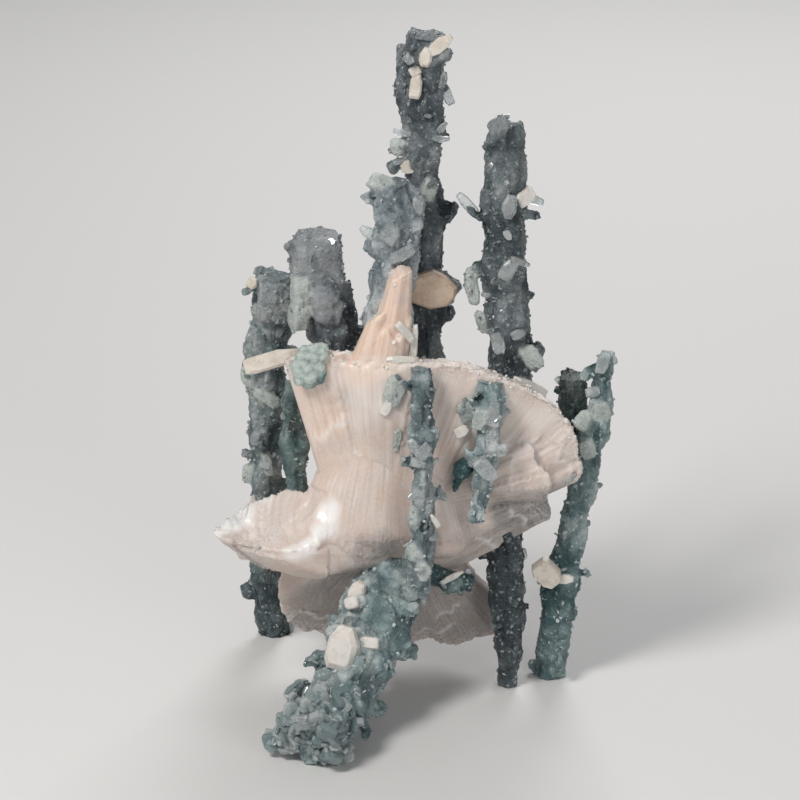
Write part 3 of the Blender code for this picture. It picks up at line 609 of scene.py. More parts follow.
def sheaf_places(points):
    """For points in millimetres: which sheaf each is on, and (around, along, share, end) on it."""
    best = np.full(len(points), np.inf)
    found = np.zeros((len(points), 4))
    which = np.zeros(len(points), dtype=int)
    power = 2.0 / SECTION_POWER
    for number, sheaf in enumerate(SHEAVES.values()):
        root, axis, width_way, thick_way, length, spread = sheaf_frame(sheaf)
        away = points - np.array(root)
        ahead = away @ np.array(axis)
        wide = away @ np.array(width_way)
        u = lath_turn(wide, ahead, sheaf["root_half"][0], spread[0])
        along = np.hypot(wide - u * sheaf["root_half"][0], ahead) * np.sign(ahead)
        thick = sheaf["root_half"][1] + math.tan(spread[1]) * along
        v = away @ np.array(thick_way) / np.maximum(thick, 1.0)
        share = along / (length * lath_reach(sheaf, u, np.clip(v, -1.2, 1.2)))
        out = (np.abs(u) ** power + np.abs(v) ** power) ** (1.0 / power)
        past_end = np.maximum(share - 1.0 - sheaf["crown"] * np.maximum(0, 1 - out * out), 0)
        score = np.maximum(out, 0.9) + (past_end + np.maximum(-share, 0)) * 8.0
        half = abs(spread[0]) * length + sheaf["root_half"][0]
        side = np.arctan2(v, u) * sheaf["tip_thickness"] + SIDE_SHIFT
        around = np.where(np.abs(u) > SIDE_START, side, u * half + BACK_SHIFT * (v < 0))
        end = smooth_step(out, 1.02, 0.94) * smooth_step(share, 0.94, 0.99) * sheaf["grain"]
        nearer = score < best
        best = np.where(nearer, score, best)
        found = np.where(nearer[:, None], rows_of(around, along, share, end), found)
        which = np.where(nearer, number, which)
    return which, found.T


def wing_places(points):
    """Whether each point is on the left wing, and (around, along, share, on its end)."""
    root, _, centre, outward, width_way, thick_way = wing_frame()
    away = points - np.array(root)
    ahead = away @ np.array((centre - root).normalized())
    around = np.arctan2(away @ np.array(thick_way), away @ np.array(width_way)) * WING_GIRTH
    along = np.linalg.norm(away, axis=1)
    on_wing = (points < np.array(WING_REGION)).all(axis=1)
    above = (points - np.array(centre)) @ np.array(outward)
    on_end = smooth_step(above, WING_END_FROM, WING_END_TO)
    return on_wing, (around, along, ahead / (centre - root).length, on_end)


def ledge_fall(which, around, share):
    """How far plates have broken off at each point, as a count of ledges, and their torn edges."""
    fall = np.zeros(len(which))
    edge = np.zeros(len(which))
    for number, sheaf in enumerate(SHEAVES.values()):
        mine = np.flatnonzero(which == number)
        side = around[mine]
        for step, ledge in enumerate(sheaf["ledges"] if len(mine) else ()):
            level = number * 3.0 + step * 9.0
            wander = sum(noise_at(rows_of(side * waves, 0.0, level), seed) * size
                         for waves, size, seed in LEDGE_WAVES)
            strength = smooth_step(noise_at(rows_of(side * 0.11, 0.0, level), 4), -0.15, 0.25)
            gap = share[mine] - ledge - wander
            fall[mine] += smooth_step(gap, -LEDGE_SHARP, LEDGE_SHARP) * strength
            line = strength * smooth_step(-gap, 0.0, 0.02) * smooth_step(gap, -0.07, -0.02)
            edge[mine] = np.maximum(edge[mine], line)
    return fall, edge


def steps_at(across, group, width, seed):
    """A level from -0.5 to 0.5 for each plate of this width in millimetres; it jumps between plates."""
    rows = rows_of(across / width + seed * 11.3, 0.0, group + seed)
    return np.array([noise.cell(Vector(row)) - 0.5 for row in rows])


def soften(obj):
    """Smooths the body's skin round the soft joints, and gives how near each point is to one."""
    points = mesh_points(obj)
    places = layout_places(points)
    weight = np.zeros(len(points))
    for joint, reach in SOFT_JOINTS:
        gap = np.linalg.norm(places - np.array(joint), axis=1) / reach
        weight = np.maximum(weight, 1.0 - smooth_step(gap, 0.5, 1.0))
    edges = np.empty(len(obj.data.edges) * 2, dtype=int)
    obj.data.edges.foreach_get("vertices", edges)
    first, second = edges.reshape(-1, 2).T
    ends = np.concatenate((first, second))
    others = np.concatenate((second, first))
    count = np.bincount(ends, minlength=len(points))
    for _ in range(SOFT_ROUNDS):
        sums = [np.bincount(ends, points[others, axis], len(points)) for axis in range(3)]
        middle = np.stack([total / count for total in sums], axis=1)
        points = points + (middle - points) * weight[:, None] * SOFT_PULL
    move_points(obj, points)
    return weight


def spot_strength(points, spots, seed):
    """How strongly spots of colour reach each point, with ragged borders."""
    ragged = noise_at(points * SPOT_WAVES, seed) * SPOT_RAGGEDNESS
    strength = np.zeros(len(points))
    for place, reach, most in spots:
        gap = np.linalg.norm(points - np.array(place), axis=1) / reach + ragged
        strength = np.maximum(strength, (1.0 - smooth_step(gap, 0.45, 1.15)) * most)
    return strength


def face_relief(which, group, around, along, grown, dish, flank):
    """How far the laths and plates of the sheaves' faces stand out, in millimetres."""
    lath = rows_of(around / LATH_WIDTH, along / LATH_LENGTH, group)
    fine = rows_of(around / LATH_WIDTH * FINE_LATHS, along / FINE_LENGTH, group)
    valley = rows_of(around / VALLEY_WIDTH, along / VALLEY_LENGTH, group)
    relief = noise_at(lath, 5) * LATH_RELIEF + noise_at(fine, 6) * LATH_RELIEF * 0.6
    relief += noise_at(valley, 7) * VALLEY_DEPTH * grown
    warped = around + noise_at(rows_of(around * 0.13, along / 50.0, group), 14) * 3.0
    for width, step, seed in PLATES:
        relief += steps_at(warped, group, width, seed) * step * grown
    relief += noise_at(lath * np.array((0.7, 1.0, 1.0)), 19) * FLANK_RELIEF * flank
    relief *= 1.0 - dish
    relief += noise_at(rows_of(along / WING_LINES, around / 40.0, group), 8) * LATH_RELIEF * 2.0 * dish
    warped = along + noise_at(lath * 0.2, 15) * 3.0
    relief += steps_at(warped, group, DISH_PLATE_WIDTH, 3) * DISH_PLATE_STEP * dish
    return relief * RIDGE_DEPTHS[which]


def cluster_object():
    """All the sheaves grown into one body, with fluted faces, torn ledges and grainy ends."""
    bm = bmesh.new()
    for sheaf in SHEAVES.values():
        add_smooth_sheaf(bm, sheaf)
    add_wing(bm)
    bmesh.ops.recalc_face_normals(bm, faces=bm.faces)
    obj = object_from(bm, "crystal_sheaves")
    remesh(obj, CLUSTER_VOXEL, CLUSTER_SMOOTHING)
    joint = soften(obj)

    points = mesh_points(obj)
    normals = mesh_normals(obj)
    places = layout_places(points)
    which, (around, along, share, end) = sheaf_places(places)
    on_wing, (wing_around, wing_along, wing_share, wing_end) = wing_places(places)
    which = np.where(on_wing, len(SHEAVES), which)
    around = np.where(on_wing, wing_around, around)
    along = np.where(on_wing, wing_along, along)
    share = np.where(on_wing, wing_share, share)
    end = np.where(on_wing, 0.0, end)
    from_prow = np.linalg.norm(places - np.array(WING_RIM[0]), axis=1)
    dish = on_wing * wing_end * smooth_step(from_prow, 3.0, 8.0)
    group = which * GROUP_STEP
    grown = smooth_step(share, 0.1, 0.6)

    relief = face_relief(which, group, around, along, grown, dish, on_wing * (1.0 - wing_end))
    fall, edge = ledge_fall(which, around, share)
    relief -= (fall - 0.8) * LEDGE_DEPTH * grown
    relief *= 1.0 - JOINT_CALM * joint
    grain = sum(noise_at(places * waves, seed) * size for waves, size, seed in GRAIN_WAVES)
    rim = smooth_step(share, 0.90, 1.0) * (1.0 - on_wing)
    relief += noise_at(places * 1.6, 20) * RIM_RELIEF * rim
    relief = relief * (1.0 - end) + end * grain * END_GRAIN
    move_points(obj, points + normals * relief[:, None] * MM)

    upper = smooth_step(places[:, 2], 60.0, 70.0) * (1.0 - on_wing)
    set_point_values(
        obj,
        around=around + group,
        along=along,
        end=end,
        dish=dish,
        edge=edge * (1.0 - end),
        rim=smooth_step(share, 0.80, 0.97) * (RIDGE_DEPTHS[which] >= 1.0),
        sugar=np.maximum(end, smooth_step(share, 0.93, 0.99) * 0.7) * upper,
        peach=spot_strength(places, PEACH_SPOTS, 11),
        # Partly smoky colour, partly painted shade.
        shade=spot_strength(places, SHADE_SPOTS, 12),
        # Painted highlights.
        frost=spot_strength(places, PAINTED_HIGHLIGHT_SPOTS, 13),
    )
    obj.data.shade_smooth()
    return obj


# Stalactites

def node_copy(node, name):
    """A copy of a CAD node's mesh in an object of its own."""
    obj = linked_object(name, bpy.data.objects[node].data.copy())
    obj.data.materials.clear()
    return obj


def lumps(points, seed, scale, depth):
    shift = Vector((seed * 7.1, 0, 0))
    return np.array([noise.noise(Vector(p / MM * scale) + shift) for p in points]) * depth * MM


def cells(points, seed, scale):
    """The distance to the nearest seed point of a scatter, for rounded lumps."""
    shift = Vector((0, seed * 5.3, 0))
    return np.array([noise.voronoi(Vector(p / MM * scale) + shift)[0][0] for p in points])


def add_lobe(bm, centre, turn, size, power):
    """Adds a rounded box of this size; power is how boxy it is."""
    for vert in bmesh.ops.create_icosphere(bm, subdivisions=4, radius=1.0)["verts"]:
        boxy = [boxed(value, power) * extent / 2 for value, extent in zip(vert.co, size)]
        vert.co = centre + turn @ Vector(boxy)


def lobe_strength(points, lobes):
    """How much of each point lies in one of the lobes, from 0 to 1, with soft borders."""
    strength = np.zeros(len(points))
    for centre, turn, size in lobes:
        inside = (points - np.array(centre)) @ np.array(turn) / (np.array(size) / 2)
        reach = (np.abs(inside) ** 4).sum(axis=1) ** 0.25
        strength = np.maximum(strength, 1.0 - smooth_step(reach, 0.8, 1.35))
    return strength


def coat_object(node, spec, lobes):
    """The lumpy, grainy coat of a stalactite, made from its solid and the lobes that grow on it."""
    obj = node_copy(node, node + "_coat")
    bm = bmesh.new()
    bm.from_mesh(obj.data)
    for kind, power in LOBE_KINDS.items():
        for centre, turn, size in lobes[kind]:
            add_lobe(bm, centre, turn, size, power)
    bm.to_mesh(obj.data)
    bm.free()
    remesh(obj, COAT_VOXEL)
    points = mesh_points(obj)
    normals = mesh_normals(obj)
    seed = spec["seed"]
    large = cells(points * np.array((1.0, 1.0, 0.5)), seed, LARGE_LUMPS)
    small = cells(points, seed + 40, SMALL_LUMPS)
    marks = {kind: lobe_strength(points, lobes[kind]) for kind in LOBE_KINDS}
    bare = 1.0 - LOBE_FLATNESS * np.maximum(marks["mint"], marks["grey"])
    rise = (LUMP_MIDDLE - large) * LARGE_RISE * bare
    grain = noise_at(points / MM * 1.9, seed) * GRAIN_RISE
    rise += (LUMP_MIDDLE - small) * SMALL_RISE * (0.4 + 0.6 * bare) + grain
    streaks = noise_at(points / MM * np.array((1.0, 1.0, 0.12)), seed + 9)
    rise = np.maximum(rise + streaks * STREAK_RISE * (1.0 - bare), -COAT_SINK)
    rise *= 1.0 - TOP_CALM * smooth_step(normals[:, 2], 0.5, 0.95)
    rise -= spec["slim"] * (1.0 - np.abs(normals[:, 2]))
    points = points + normals * rise[:, None] * MM
    points[:, 2] = np.maximum(points[:, 2], FLOOR_GAP * MM)
    move_points(obj, points)
    places = layout_places(points)
    tops = (1.0 - smooth_step(large, 0.12, 0.45)) * 0.45
    set_point_values(
        obj,
        hollow=smooth_step(large, 0.5, 0.85),
        crease=smooth_step(small, 0.45, 0.8),
        shade=spot_strength(places, DARK_COAT_SPOTS, 21),
        frost=np.maximum(spot_strength(places, PALE_COAT_SPOTS, 22), tops),
        **marks,
    )
    obj.data.shade_smooth()
    return obj


def core_object(node):
    """The dark inside of a stalactite: its solid, rounded and drawn in below the coat."""
    obj = node_copy(node, node + "_core")
    remesh(obj, CORE_VOXEL, CORE_SMOOTHING)
    move_points(obj, mesh_points(obj) - mesh_normals(obj) * CORE_DEPTH * MM)
    obj.data.shade_smooth()
    return obj


# Crystals

def stacked(rim, levels):
    """Points of a stack of copies of a rim: (height, scale) for each."""
    return np.array([(x * scale, y * scale, height) for height, scale in levels for x, y in rim])


def tablet_points(draw):
    """A flat tablet of unit size, with its corners cut by chance and its broad faces cut in."""
    rim = []
    for side_x, side_y in ((1, 1), (1, -1), (-1, -1), (-1, 1)):
        cut = draw.uniform(0.06, 0.40)
        pair = [(side_x * (0.5 - cut * 0.8), side_y * 0.5), (side_x * 0.5, side_y * (0.5 - cut))]
        rim += pair if side_x == side_y else pair[::-1]
    return stacked(rim, ((-0.5, 0.84), (-0.26, 1.0), (0.26, 1.0), (0.5, draw.uniform(0.66, 0.9))))


def grain_points(draw):
    """A smaller, simpler tablet: six sides, with one broad face cut in."""
    rim = []
    for i in range(6):
        turn = math.tau * (i + draw.uniform(-0.25, 0.25)) / 6
        rim.append((math.cos(turn) * 0.5, math.sin(turn) * 0.5))
    return stacked(rim, ((-0.5, 1.0), (0.15, 1.0), (0.5, 0.7)))


# How a crystal is made: its points, how many sides it has and how many rings.
TABLET = (tablet_points, 8, 4)
GRAIN = (grain_points, 6, 3)


def ring_faces(sides, rows):
    """The faces of a closed stack of rings of points."""
    faces = [tuple(range(sides - 1, -1, -1)), tuple(range(sides * (rows - 1), sides * rows))]
    for row in range(rows - 1):
        for i in range(sides):
            j = (i + 1) % sides
            faces.append((row * sides + i, row * sides + j, (row + 1) * sides + j, (row + 1) * sides + i))
    return faces


def crystals_object(name, placed, shape=TABLET):
    """Many crystals as one mesh, each placed by (centre, rotation, size) in metres."""
    points_of, sides, rows = shape
    verts = []
    faces = []
    tone = []
    draw = random.Random(name)
    template_faces = ring_faces(sides, rows)
    for centre, turn, size in placed:
        start = len(verts) * sides * rows
        points = (points_of(draw) * np.array(size)) @ np.array(turn).T + np.array(centre)
        points[:, 2] = np.maximum(points[:, 2], FLOOR_GAP * MM)
        verts.append(points)
        faces += [tuple(i + start for i in face) for face in template_faces]
        tone.append(np.full(sides * rows, draw.random()))
    mesh = bpy.data.meshes.new(name)
    mesh.from_pydata(np.concatenate(verts).tolist(), [], faces)
    bm = bmesh.new()
    bm.from_mesh(mesh)
    bmesh.ops.recalc_face_normals(bm, faces=bm.faces)
    bm.to_mesh(mesh)
    bm.free()
    obj = linked_object(name, mesh)
    set_point_values(obj, tone=np.concatenate(tone))
    return obj


def turned(long_axis, facing):
    """A rotation whose Y is the long axis and whose Z is as near to facing as it can be."""
    y_axis = long_axis.normalized()
    z_axis = (facing - y_axis * facing.dot(y_axis)).normalized()
    return Matrix((y_axis.cross(z_axis), y_axis, z_axis)).transposed()


def face_weights(obj, amount):
    """The amount at the first corner of each face."""
    return np.array([amount[face.vertices[0]] for face in obj.data.polygons])


def scattered_crystals(coat, seed, per_area, lengths, sunk, weights=1.0):
    """Tablets scattered over a coat, half sunk in it and leaning out; per_area is for a square centimetre."""
    faces = coat.data.polygons
    draw = random.Random(seed * 101)
    areas = np.empty(len(faces))
    faces.foreach_get("area", areas)
    centres = vectors_of(faces, "center")
    normals = vectors_of(faces, "normal")
    areas = areas * weights
    total = areas.sum()
    picker = np.random.default_rng(seed)
    placed = []
    for index in picker.choice(len(areas), size=int(total * 1e4 * per_area), p=areas / total):
        normal = Vector(normals[index])
        side = normal.orthogonal().normalized()
        side.rotate(Matrix.Rotation(draw.uniform(0, math.tau), 3, normal))
        lean = draw.uniform(0.1, 1.0)
        long_axis = (side * (1.1 - lean) + normal * lean).normalized()
        facing = normal.cross(side) * draw.uniform(-1, 1) + normal * draw.uniform(0.2, 1.0)
        length = draw.uniform(*lengths) * MM
        size = (length * draw.uniform(0.55, 0.95), length, length * draw.uniform(0.22, 0.42))
        centre = Vector(centres[index]) + normal * draw.uniform(-0.2, 0.15) * length * sunk
        placed.append((centre, turned(long_axis, facing), size))
    return placed


def search_tree(meshes):
    """A search tree of the faces of some meshes."""
    points = []
    faces = []
    for mesh in meshes:
        start = len(points)
        points += [vert.co.copy() for vert in mesh.vertices]
        faces += [tuple(i + start for i in face.vertices) for face in mesh.polygons]
    return BVHTree.FromPolygons(points, faces)


def lobes_by_stalactite(carriers):
    """For each stalactite, the lobes of each kind that are grown into its coat: those nearest to it."""
    trees = {node: search_tree([bpy.data.objects[node].data]) for node in STALACTITES}
    lobes = {node: {kind: [] for kind in LOBE_KINDS} for node in STALACTITES}
    for kind in LOBE_KINDS:
        for crystal in placed_crystals(kind, carriers):
            nearest = min(trees, key=lambda node: trees[node].find_nearest(crystal[0])[3])
            lobes[nearest][kind].append(crystal)
    return lobes


def settled(column, row, depth, size, carriers):
    """Where a crystal that is seen at a pixel rests on its carrier, and the way the carrier faces there."""
    start = layout_point(*seen_at(column, row, depth - REST_REACH))
    stop = layout_point(*seen_at(column, row, depth + REST_REACH))
    way = (stop - start).normalized()
    hit, normal, _, _ = carriers.ray_cast(start, way, (stop - start).length)
    if hit is not None:
        return hit - way * size[2] * 0.2 * MM, normal
    tries = [start.lerp(stop, i / REST_TRIES) for i in range(REST_TRIES + 1)]
    place = min(tries, key=lambda point: carriers.find_nearest(point)[3])
    near, _, _, gap = carriers.find_nearest(place)
    too_far = gap - size[0] * 0.38 * MM
    if too_far > 0:
        place = place + (near - place).normalized() * too_far
    return place, Vector((0, 0, 0))


def placed_crystals(kind, carriers):
    """(centre, rotation, size) of each single crystal of a kind."""
    placed = []
    draw = random.Random(kind)
    for column, row, depth, length, width, thickness, lean in NOTABLE_CRYSTALS[kind]:
        turn = math.radians(lean)
        long_axis = Vector((math.sin(turn), draw.uniform(-0.15, 0.15), math.cos(turn)))
        facing = Vector((draw.uniform(-0.25, 0.25), -1.0, draw.uniform(0.15, 0.5)))
        if thickness < THICK_BLOCK:
            place, normal = settled(column, row, depth, (length, width, thickness), carriers)
            long_axis -= normal * long_axis.dot(normal) * 0.75
            facing += normal * 0.9
        else:
            place = layout_point(*seen_at(column, row, depth))
        placed.append((place, turned(long_axis, facing), (width * MM, length * MM, thickness * MM)))
    return placed


def blade_object(name):
    """The peach blade: a flat plate of the outline that the photo shows."""
    outline = [seen_at(column, row, PEACH_BLADE_DEPTH) for column, row in PEACH_BLADE]
    centre = sum(outline, Vector()) / len(outline)
    bm = bmesh.new()
    rings = []
    for side, scale in ((-0.5, 0.86), (-0.3, 1.0), (0.3, 1.0), (0.5, 0.86)):
        shift = Vector((0, side * PEACH_BLADE_THICKNESS, 0))
        rings.append([layout_point(*(centre + (point - centre) * scale + shift)) for point in outline])
    add_rings(bm, rings)
    bmesh.ops.recalc_face_normals(bm, faces=bm.faces)
    return object_from(bm, name)


def druse_patches():
    """Small ovals of druse on the sheaves: pale at the upper left, dark at the lower right."""
    bm = bmesh.new()
    turn = Matrix.Rotation(math.radians(PATCH_LEAN), 3, "Y")
    for column, row, depth, (wide, high, deep) in DRUSE_PATCHES:
        centre = layout_point(*seen_at(column, row, depth))
        add_lobe(bm, centre, turn, (wide * 2 * MM, deep * 2 * MM, high * 2 * MM), 0.9)
    obj = object_from(bm, "druse_patches")
    remesh(obj, LOBE_VOXEL)
    points = mesh_points(obj)
    small = cells(points, 3, 0.75)
    rise = (0.42 - small) * 0.7 * MM + lumps(points, 5, 0.22, 1.6) + lumps(points, 6, 0.6, 0.6)
    move_points(obj, points + mesh_normals(obj) * rise[:, None])
    high_left = (points[:, 2] - points[:, 0]) / MM
    none = np.zeros(len(points))
    set_point_values(
        obj,
        hollow=none,
        crease=smooth_step(small, 0.45, 0.8),
        grey=none,
        mint=none,
        shade=1.0 - smooth_step(high_left, 100.0, 106.0),
        frost=smooth_step(high_left, 103.0, 108.0) * 2.0,
    )
    obj.data.shade_smooth()
    return obj


# Materials

class Look:
    """A material while it is made: its nodes, and the sockets of its surface shader."""

    def __init__(self, name):
        self.material = bpy.data.materials.new(name)
        self.material.use_nodes = True
        self.nodes = self.material.node_tree.nodes
        self.links = self.material.node_tree.links
        self.surface = self.nodes["Principled BSDF"].inputs

    def feed(self, socket, value):
        """Links a socket to the value's socket, or writes the plain value into it."""
        if isinstance(value, bpy.types.NodeSocket):
            self.links.new(value, socket)
        elif isinstance(value, tuple) and len(socket.default_value) == 4:
            socket.default_value = (*value, 1.0)
        else:
            socket.default_value = value

    def finish(self, **values):
        """Feeds the surface shader's sockets, whose names have _ for a space, and gives the material."""
        for name, value in values.items():
            self.feed(self.surface[name.replace("_", " ")], value)
        return self.material

    def node(self, kind, feeds, output=0, **settings):
        """The output of a new node, with its settings and what feeds its sockets."""
        node = self.nodes.new(kind)
        for name, value in settings.items():
            setattr(node, name, value)
        for socket, value in feeds.items():
            self.feed(node.inputs[socket], value)
        return node.outputs[output]

    def attribute(self, name):
        return self.node("ShaderNodeAttribute", {}, "Fac", attribute_name=name)

    def place(self):
        return self.node("ShaderNodeTexCoord", {}, "Object")

    def cloud(self, vector, scale, detail=4.0, roughness=0.6):
        feeds = {"Vector": vector, "Scale": scale, "Detail": detail, "Roughness": roughness}
        return self.node("ShaderNodeTexNoise", feeds, "Fac")

    def mapped(self, value, low, high, out_low=0.0, out_high=1.0):
        feeds = {"Value": value, "From Min": low, "From Max": high, "To Min": out_low, "To Max": out_high}
        return self.node("ShaderNodeMapRange", feeds, "Result")

    def mixed(self, factor, first, second):
        """A mix of two colours."""
        return self.node("ShaderNodeMix", {0: factor, 6: first, 7: second}, 2, data_type="RGBA")

    def either(self, factor, first, second):
        """A mix of two numbers."""
        return self.node("ShaderNodeMix", {0: factor, 2: first, 3: second})

    def calc(self, operation, first, second):
        """What a math operation makes of two numbers."""
        return self.node("ShaderNodeMath", {0: first, 1: second}, operation=operation)

    def times(self, first, second):
        return self.calc("MULTIPLY", first, second)

    def most(self, first, second):
        return self.calc("MAXIMUM", first, second)

    def bump(self, height, strength, distance):
        return self.node("ShaderNodeBump", {"Height": height, "Strength": strength, "Distance": distance})

    def lath_lines(self, across, down, dish_across, dish_down):
        """Coordinates along the laths, or along the growth lines on the dished end, at these scales."""
        around = self.attribute("around")
        along = self.attribute("along")
        dish = self.attribute("dish")
        first = self.either(dish, self.times(around, across), self.times(along, dish_across))
        second = self.either(dish, self.times(along, down), self.times(around, dish_down))
        return self.node("ShaderNodeCombineXYZ", {0: first, 1: second})


def sheaf_material():
    """Pearly pink: faint striae along the laths, white torn edges and grainy ends, smoky colour mixed with
    painted shade, and painted highlights.
    """
    look = Look("pearly_pink_sheaf")
    place = look.place()
    streak = look.cloud(look.lath_lines(1.1, 0.04, 0.8, 0.01), 1.0, 5.0)
    broad = look.cloud(place, 70.0, 3.0)
    grain = look.cloud(place, 1400.0, 3.0)
    frost = look.attribute("frost")

    colour = look.mixed(look.mapped(streak, 0.34, 0.66), PINK_DEEP, PINK_PALE)
    colour = look.mixed(look.mapped(broad, 0.42, 0.62, 0.0, 0.8), colour, PINK_CLOUD)
    peach = look.mixed(look.mapped(streak, 0.35, 0.65), PEACH_DEEP, PEACH_PALE)
    colour = look.mixed(look.attribute("peach"), colour, peach)
    # Smoky colour and painted shade, where the shade spots reach.
    smoke_and_shade = look.mixed(look.mapped(streak, 0.36, 0.64), SMOKE_AND_SHADE_DEEP, SMOKE_AND_SHADE_PALE)
    colour = look.mixed(look.attribute("shade"), colour, smoke_and_shade)
    speckle = look.mapped(grain, 0.38, 0.60)
    tip = look.most(look.times(look.attribute("rim"), 0.75), look.attribute("end"))
    white = look.times(look.most(look.times(tip, speckle), look.attribute("edge")), 0.55)
    # The painted highlights whiten the surface here, as do the white edges, speckles and grainy ends.
    white = look.most(look.most(white, look.times(speckle, 0.16)), frost)
    colour = look.mixed(white, colour, WHITE_EDGE_AND_HIGHLIGHT)

    rough = look.calc("SUBTRACT", look.mapped(streak, 0.3, 0.7, 0.30, 0.50), look.times(frost, 0.2))
    striae = look.cloud(look.lath_lines(3.2, 0.12, 2.0, 0.02), 1.0, 3.0)
    return look.finish(
        Base_Color=colour,
        Roughness=rough,
        IOR=CRYSTAL_IOR,
        Subsurface_Weight=0.4,
        Subsurface_Radius=(1.0, 0.6, 0.45),
        Subsurface_Scale=0.003,
        Normal=look.bump(look.mixed(0.3, striae, grain), 0.55, 0.0003),
    )


def coat_colours(teal, light):
    """(dark, middle, pale) of a coat."""
    colours = []
    for grey, green in zip(GREY_COAT, TEAL_COAT):
        colours.append(tuple(min(LIGHTEST, (a + (b - a) * teal) * light) for a, b in zip(grey, green)))
    return colours


def coat_material(name, teal, light):
    """Frosted, see-through druse: dark between its lobes, where the core shows, and paler on them."""
    look = Look(name)
    place = look.place()
    patch = look.cloud(place, 120.0, 4.0, 0.65)
    speck = look.cloud(place, 900.0, 2.0)
    grain = look.cloud(place, 1000.0, 4.0, 0.75)
    dark, middle, pale = coat_colours(teal, light)
    share = look.calc("ADD", patch, look.times(look.attribute("frost"), 0.2))
    share = look.calc("SUBTRACT", share, look.times(look.attribute("shade"), 0.28))
    colour = look.mixed(look.mapped(share, 0.30, 0.50), dark, middle)
    colour = look.mixed(look.mapped(share, 0.50, 0.66), colour, pale)
    deep = look.most(look.times(look.attribute("hollow"), 0.75), look.times(look.attribute("crease"), 0.35))
    colour = look.mixed(deep, colour, dark)
    for kind, least, most, lobe_colour in (("grey", 0.55, 0.95, GREY_LOBE), ("mint", 0.8, 1.0, MINT_LOBE)):
        amount = look.times(look.attribute(kind), look.mapped(patch, 0.35, 0.6, least, most))
        colour = look.mixed(amount, colour, lobe_colour)
    colour = look.mixed(look.mapped(speck, 0.60, 0.72, 0.0, 0.5), colour, COAT_SPECK)
    return look.finish(
        Base_Color=colour,
        Transmission_Weight=COAT_CLEAR,
        IOR=COAT_IOR,
        Roughness=look.mapped(grain, 0.3, 0.7, 0.16, 0.42),
        Normal=look.bump(grain, 1.0, 0.0006),
    )


def core_material():
    """The dark teal inside of the stalactites."""
    look = Look("dark_teal_core")
    patch = look.cloud(look.place(), 220.0, 4.0, 0.7)
    colour = look.mixed(look.mapped(patch, 0.4, 0.65), CORE_DEEP, CORE_PALE)
    return look.finish(Base_Color=colour, Roughness=0.6)


def clear_material(name, teal, light):
    """The glassy tablets of the druse."""
    look = Look(name)
    _, cold, _ = coat_colours(teal, light)
    colour = look.mixed(look.calc("POWER", look.attribute("tone"), 1.3), cold, GLASS_WHITE)
    return look.finish(Base_Color=colour, Transmission_Weight=GLASS_CLEAR, IOR=CRYSTAL_IOR, Roughness=0.10)


def grain_material(name, teal, light):
    """The small tablets that give the druse its sugary look; the whitest of them are painted glints."""
    look = Look(name)
    tone = look.attribute("tone")
    patch = look.cloud(look.place(), 120.0, 4.0, 0.65)
    _, middle, pale = coat_colours(teal, light)
    # The grains of the highest tone are painted near white as glints.
    white = tuple(min(LIGHTEST, 0.12 + value) for value in pale)
    colour = look.mixed(look.mapped(patch, 0.40, 0.62), middle, pale)
    return look.finish(
        Base_Color=look.mixed(look.mapped(tone, 0.80, 1.0), colour, white),
        Roughness=look.mapped(tone, 0.0, 1.0, 0.32, 0.10),
        Transmission_Weight=GRAIN_CLEAR,
        IOR=CRYSTAL_IOR,
    )


def tablet_material(name, deep, pale, clear):
    """A waxy tablet, more or less see-through, with a cloudy colour and a fine grain."""
    look = Look(name)
    place = look.place()
    cloud = look.cloud(place, 350.0, 4.0, 0.65)
    grain = look.cloud(place, 1500.0, 3.0)
    if clear < GLOW_BELOW:
        look.finish(Subsurface_Weight=0.3, Subsurface_Radius=(1.0, 0.7, 0.55), Subsurface_Scale=0.002)
    return look.finish(
        Base_Color=look.mixed(look.mapped(cloud, 0.38, 0.64), deep, pale),
        Roughness=look.mapped(cloud, 0.3, 0.7, 0.18, 0.42),
        Transmission_Weight=clear,
        IOR=CRYSTAL_IOR,
        Normal=look.bump(grain, 0.4, 0.0003),
    )


# The stage

def add_camera():
    camera = bpy.data.cameras.new("camera")
    camera.sensor_width = SENSOR_WIDTH
    camera.lens = SENSOR_WIDTH * CAMERA_DISTANCE / VIEW_WIDTH
    camera.clip_start = 0.01
    obj = linked_object("camera", camera)
    rise = math.radians(CAMERA_ELEVATION)
    target = layout_point(*CAMERA_TARGET)
    obj.location = target + Vector((0, -math.cos(rise), math.sin(rise))) * CAMERA_DISTANCE * MM
    obj.rotation_euler = (target - obj.location).to_track_quat("-Z", "Y").to_euler()
    bpy.context.scene.camera = obj


def add_floor():
    bm = bmesh.new()
    bmesh.ops.create_grid(bm, x_segments=1, y_segments=1, size=FLOOR_HALF_WIDTH)
    obj = object_from(bm, "floor")
    obj.data.materials.append(Look("pale_floor").finish(Base_Color=FLOOR_COLOUR, Roughness=0.7))


def add_lamp(name, place, size, power, colour):
    light = bpy.data.lights.new(name, "AREA")
    light.shape = "DISK"
    light.size = size
    light.energy = power
    light.color = colour
    obj = linked_object(name, light)
    obj.location = place
    obj.rotation_euler = (Vector(LAMP_AIM) - Vector(place)).to_track_quat("-Z", "Y").to_euler()


def add_stage():
    add_camera()
    add_floor()
    for lamp in LAMPS:
        add_lamp(*lamp)
    world = bpy.data.worlds.new("studio")
    bpy.context.scene.world = world
    world.use_nodes = True
    background = world.node_tree.nodes["Background"]
    background.inputs["Color"].default_value = SKY_COLOUR
    background.inputs["Strength"].default_value = SKY_STRENGTH
    bpy.context.scene.view_settings.view_transform = "Standard"


# The pieces

def finish_piece(obj, material):
    """Gives a piece its material and the body that it rides on."""
    obj.data.materials.append(material)
    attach(obj, "root")


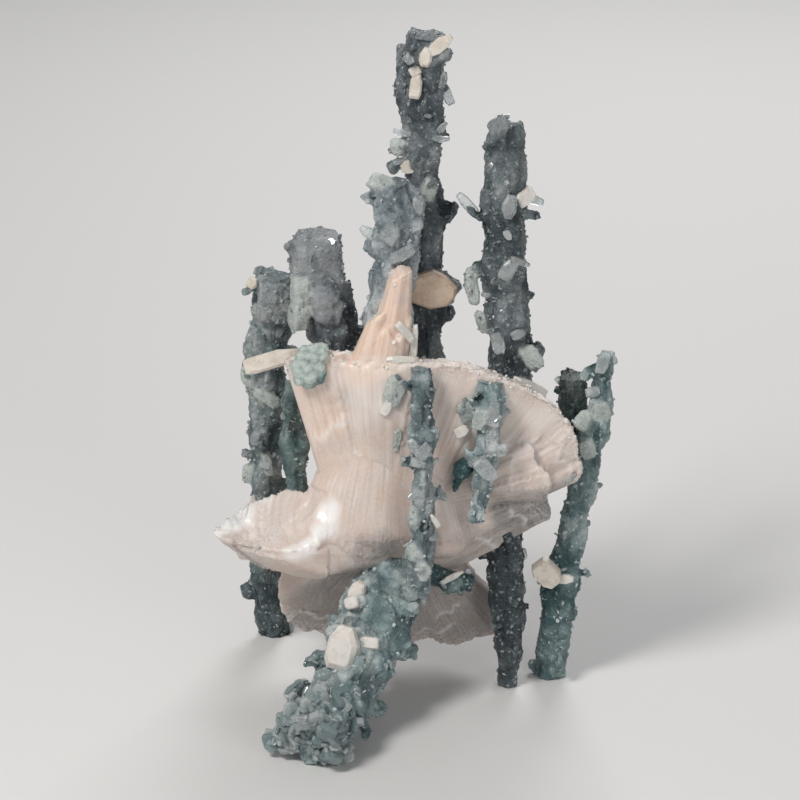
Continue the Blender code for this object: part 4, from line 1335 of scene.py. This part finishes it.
def add_cluster():
    """The sheaves, and the white grains at the fans' upper ends."""
    cluster = cluster_object()
    finish_piece(cluster, sheaf_material())
    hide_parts("crystal_cluster")
    sugar = np.zeros(len(cluster.data.vertices))
    cluster.data.attributes["sugar"].data.foreach_get("value", sugar)
    weights = face_weights(cluster, sugar)
    placed = scattered_crystals(cluster, RIM_SEED, *RIM_GRAINS, weights)
    rim_grains = crystals_object("rim_grains", placed, GRAIN)
    finish_piece(rim_grains, tablet_material("rim_sugar", *RIM_SUGAR))
    return cluster


def add_foot_blades(coat, teal):
    """The crowd of glassy blades round the end of the foot."""
    points = mesh_points(coat)
    gap = np.linalg.norm(points - np.array(layout_point(*FOOT_END)), axis=1) / MM
    near = 1.0 - smooth_step(gap, FOOT_END_REACH * 0.6, FOOT_END_REACH)
    weights = face_weights(coat, near * (points[:, 2] > FOOT_BLADE_START * MM))
    blades = crystals_object("foot_blades", scattered_crystals(coat, FOOT_SEED, *FOOT_BLADES, weights))
    finish_piece(blades, clear_material("foot_glass", teal, FOOT_GLASS_LIGHT))


def add_stalactite(node, spec, lobes, dark):
    """A stalactite's coat, its dark core, its glassy tablets and its small grains."""
    coat = coat_object(node, spec, lobes)
    core = core_object(node)
    large = scattered_crystals(coat, spec["seed"], *LARGE_CRYSTALS)
    crystals = crystals_object(node + "_crystals", large)
    small = scattered_crystals(coat, spec["seed"] + 50, *SMALL_CRYSTALS)
    grains = crystals_object(node + "_grains", small, GRAIN)
    tint = (spec["teal"], spec["light"])
    finish_piece(coat, coat_material(node + "_frost", *tint))
    finish_piece(core, dark)
    finish_piece(crystals, clear_material(node + "_glass", *tint))
    finish_piece(grains, grain_material(node + "_sugar", *tint))
    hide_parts(node)
    return coat


def dress():
    cluster = add_cluster()
    dark = core_material()
    carriers = search_tree([cluster.data] + [bpy.data.objects[node].data for node in STALACTITES])
    lobes = lobes_by_stalactite(carriers)
    for node, spec in STALACTITES.items():
        coat = add_stalactite(node, spec, lobes[node], dark)
        if node == "stalactite_foot":
            add_foot_blades(coat, spec["teal"])
    for kind, (slot, *look) in TABLETS.items():
        crystals = crystals_object(kind + "_crystals", placed_crystals(kind, carriers))
        finish_piece(crystals, tablet_material(kind + "_tablet", *look))
    finish_piece(blade_object("peach_blade"), tablet_material("peach_tablet", *PEACH_TABLET))
    finish_piece(druse_patches(), coat_material("patch_frost", *PATCH_TINT))


add_stage()
dress()
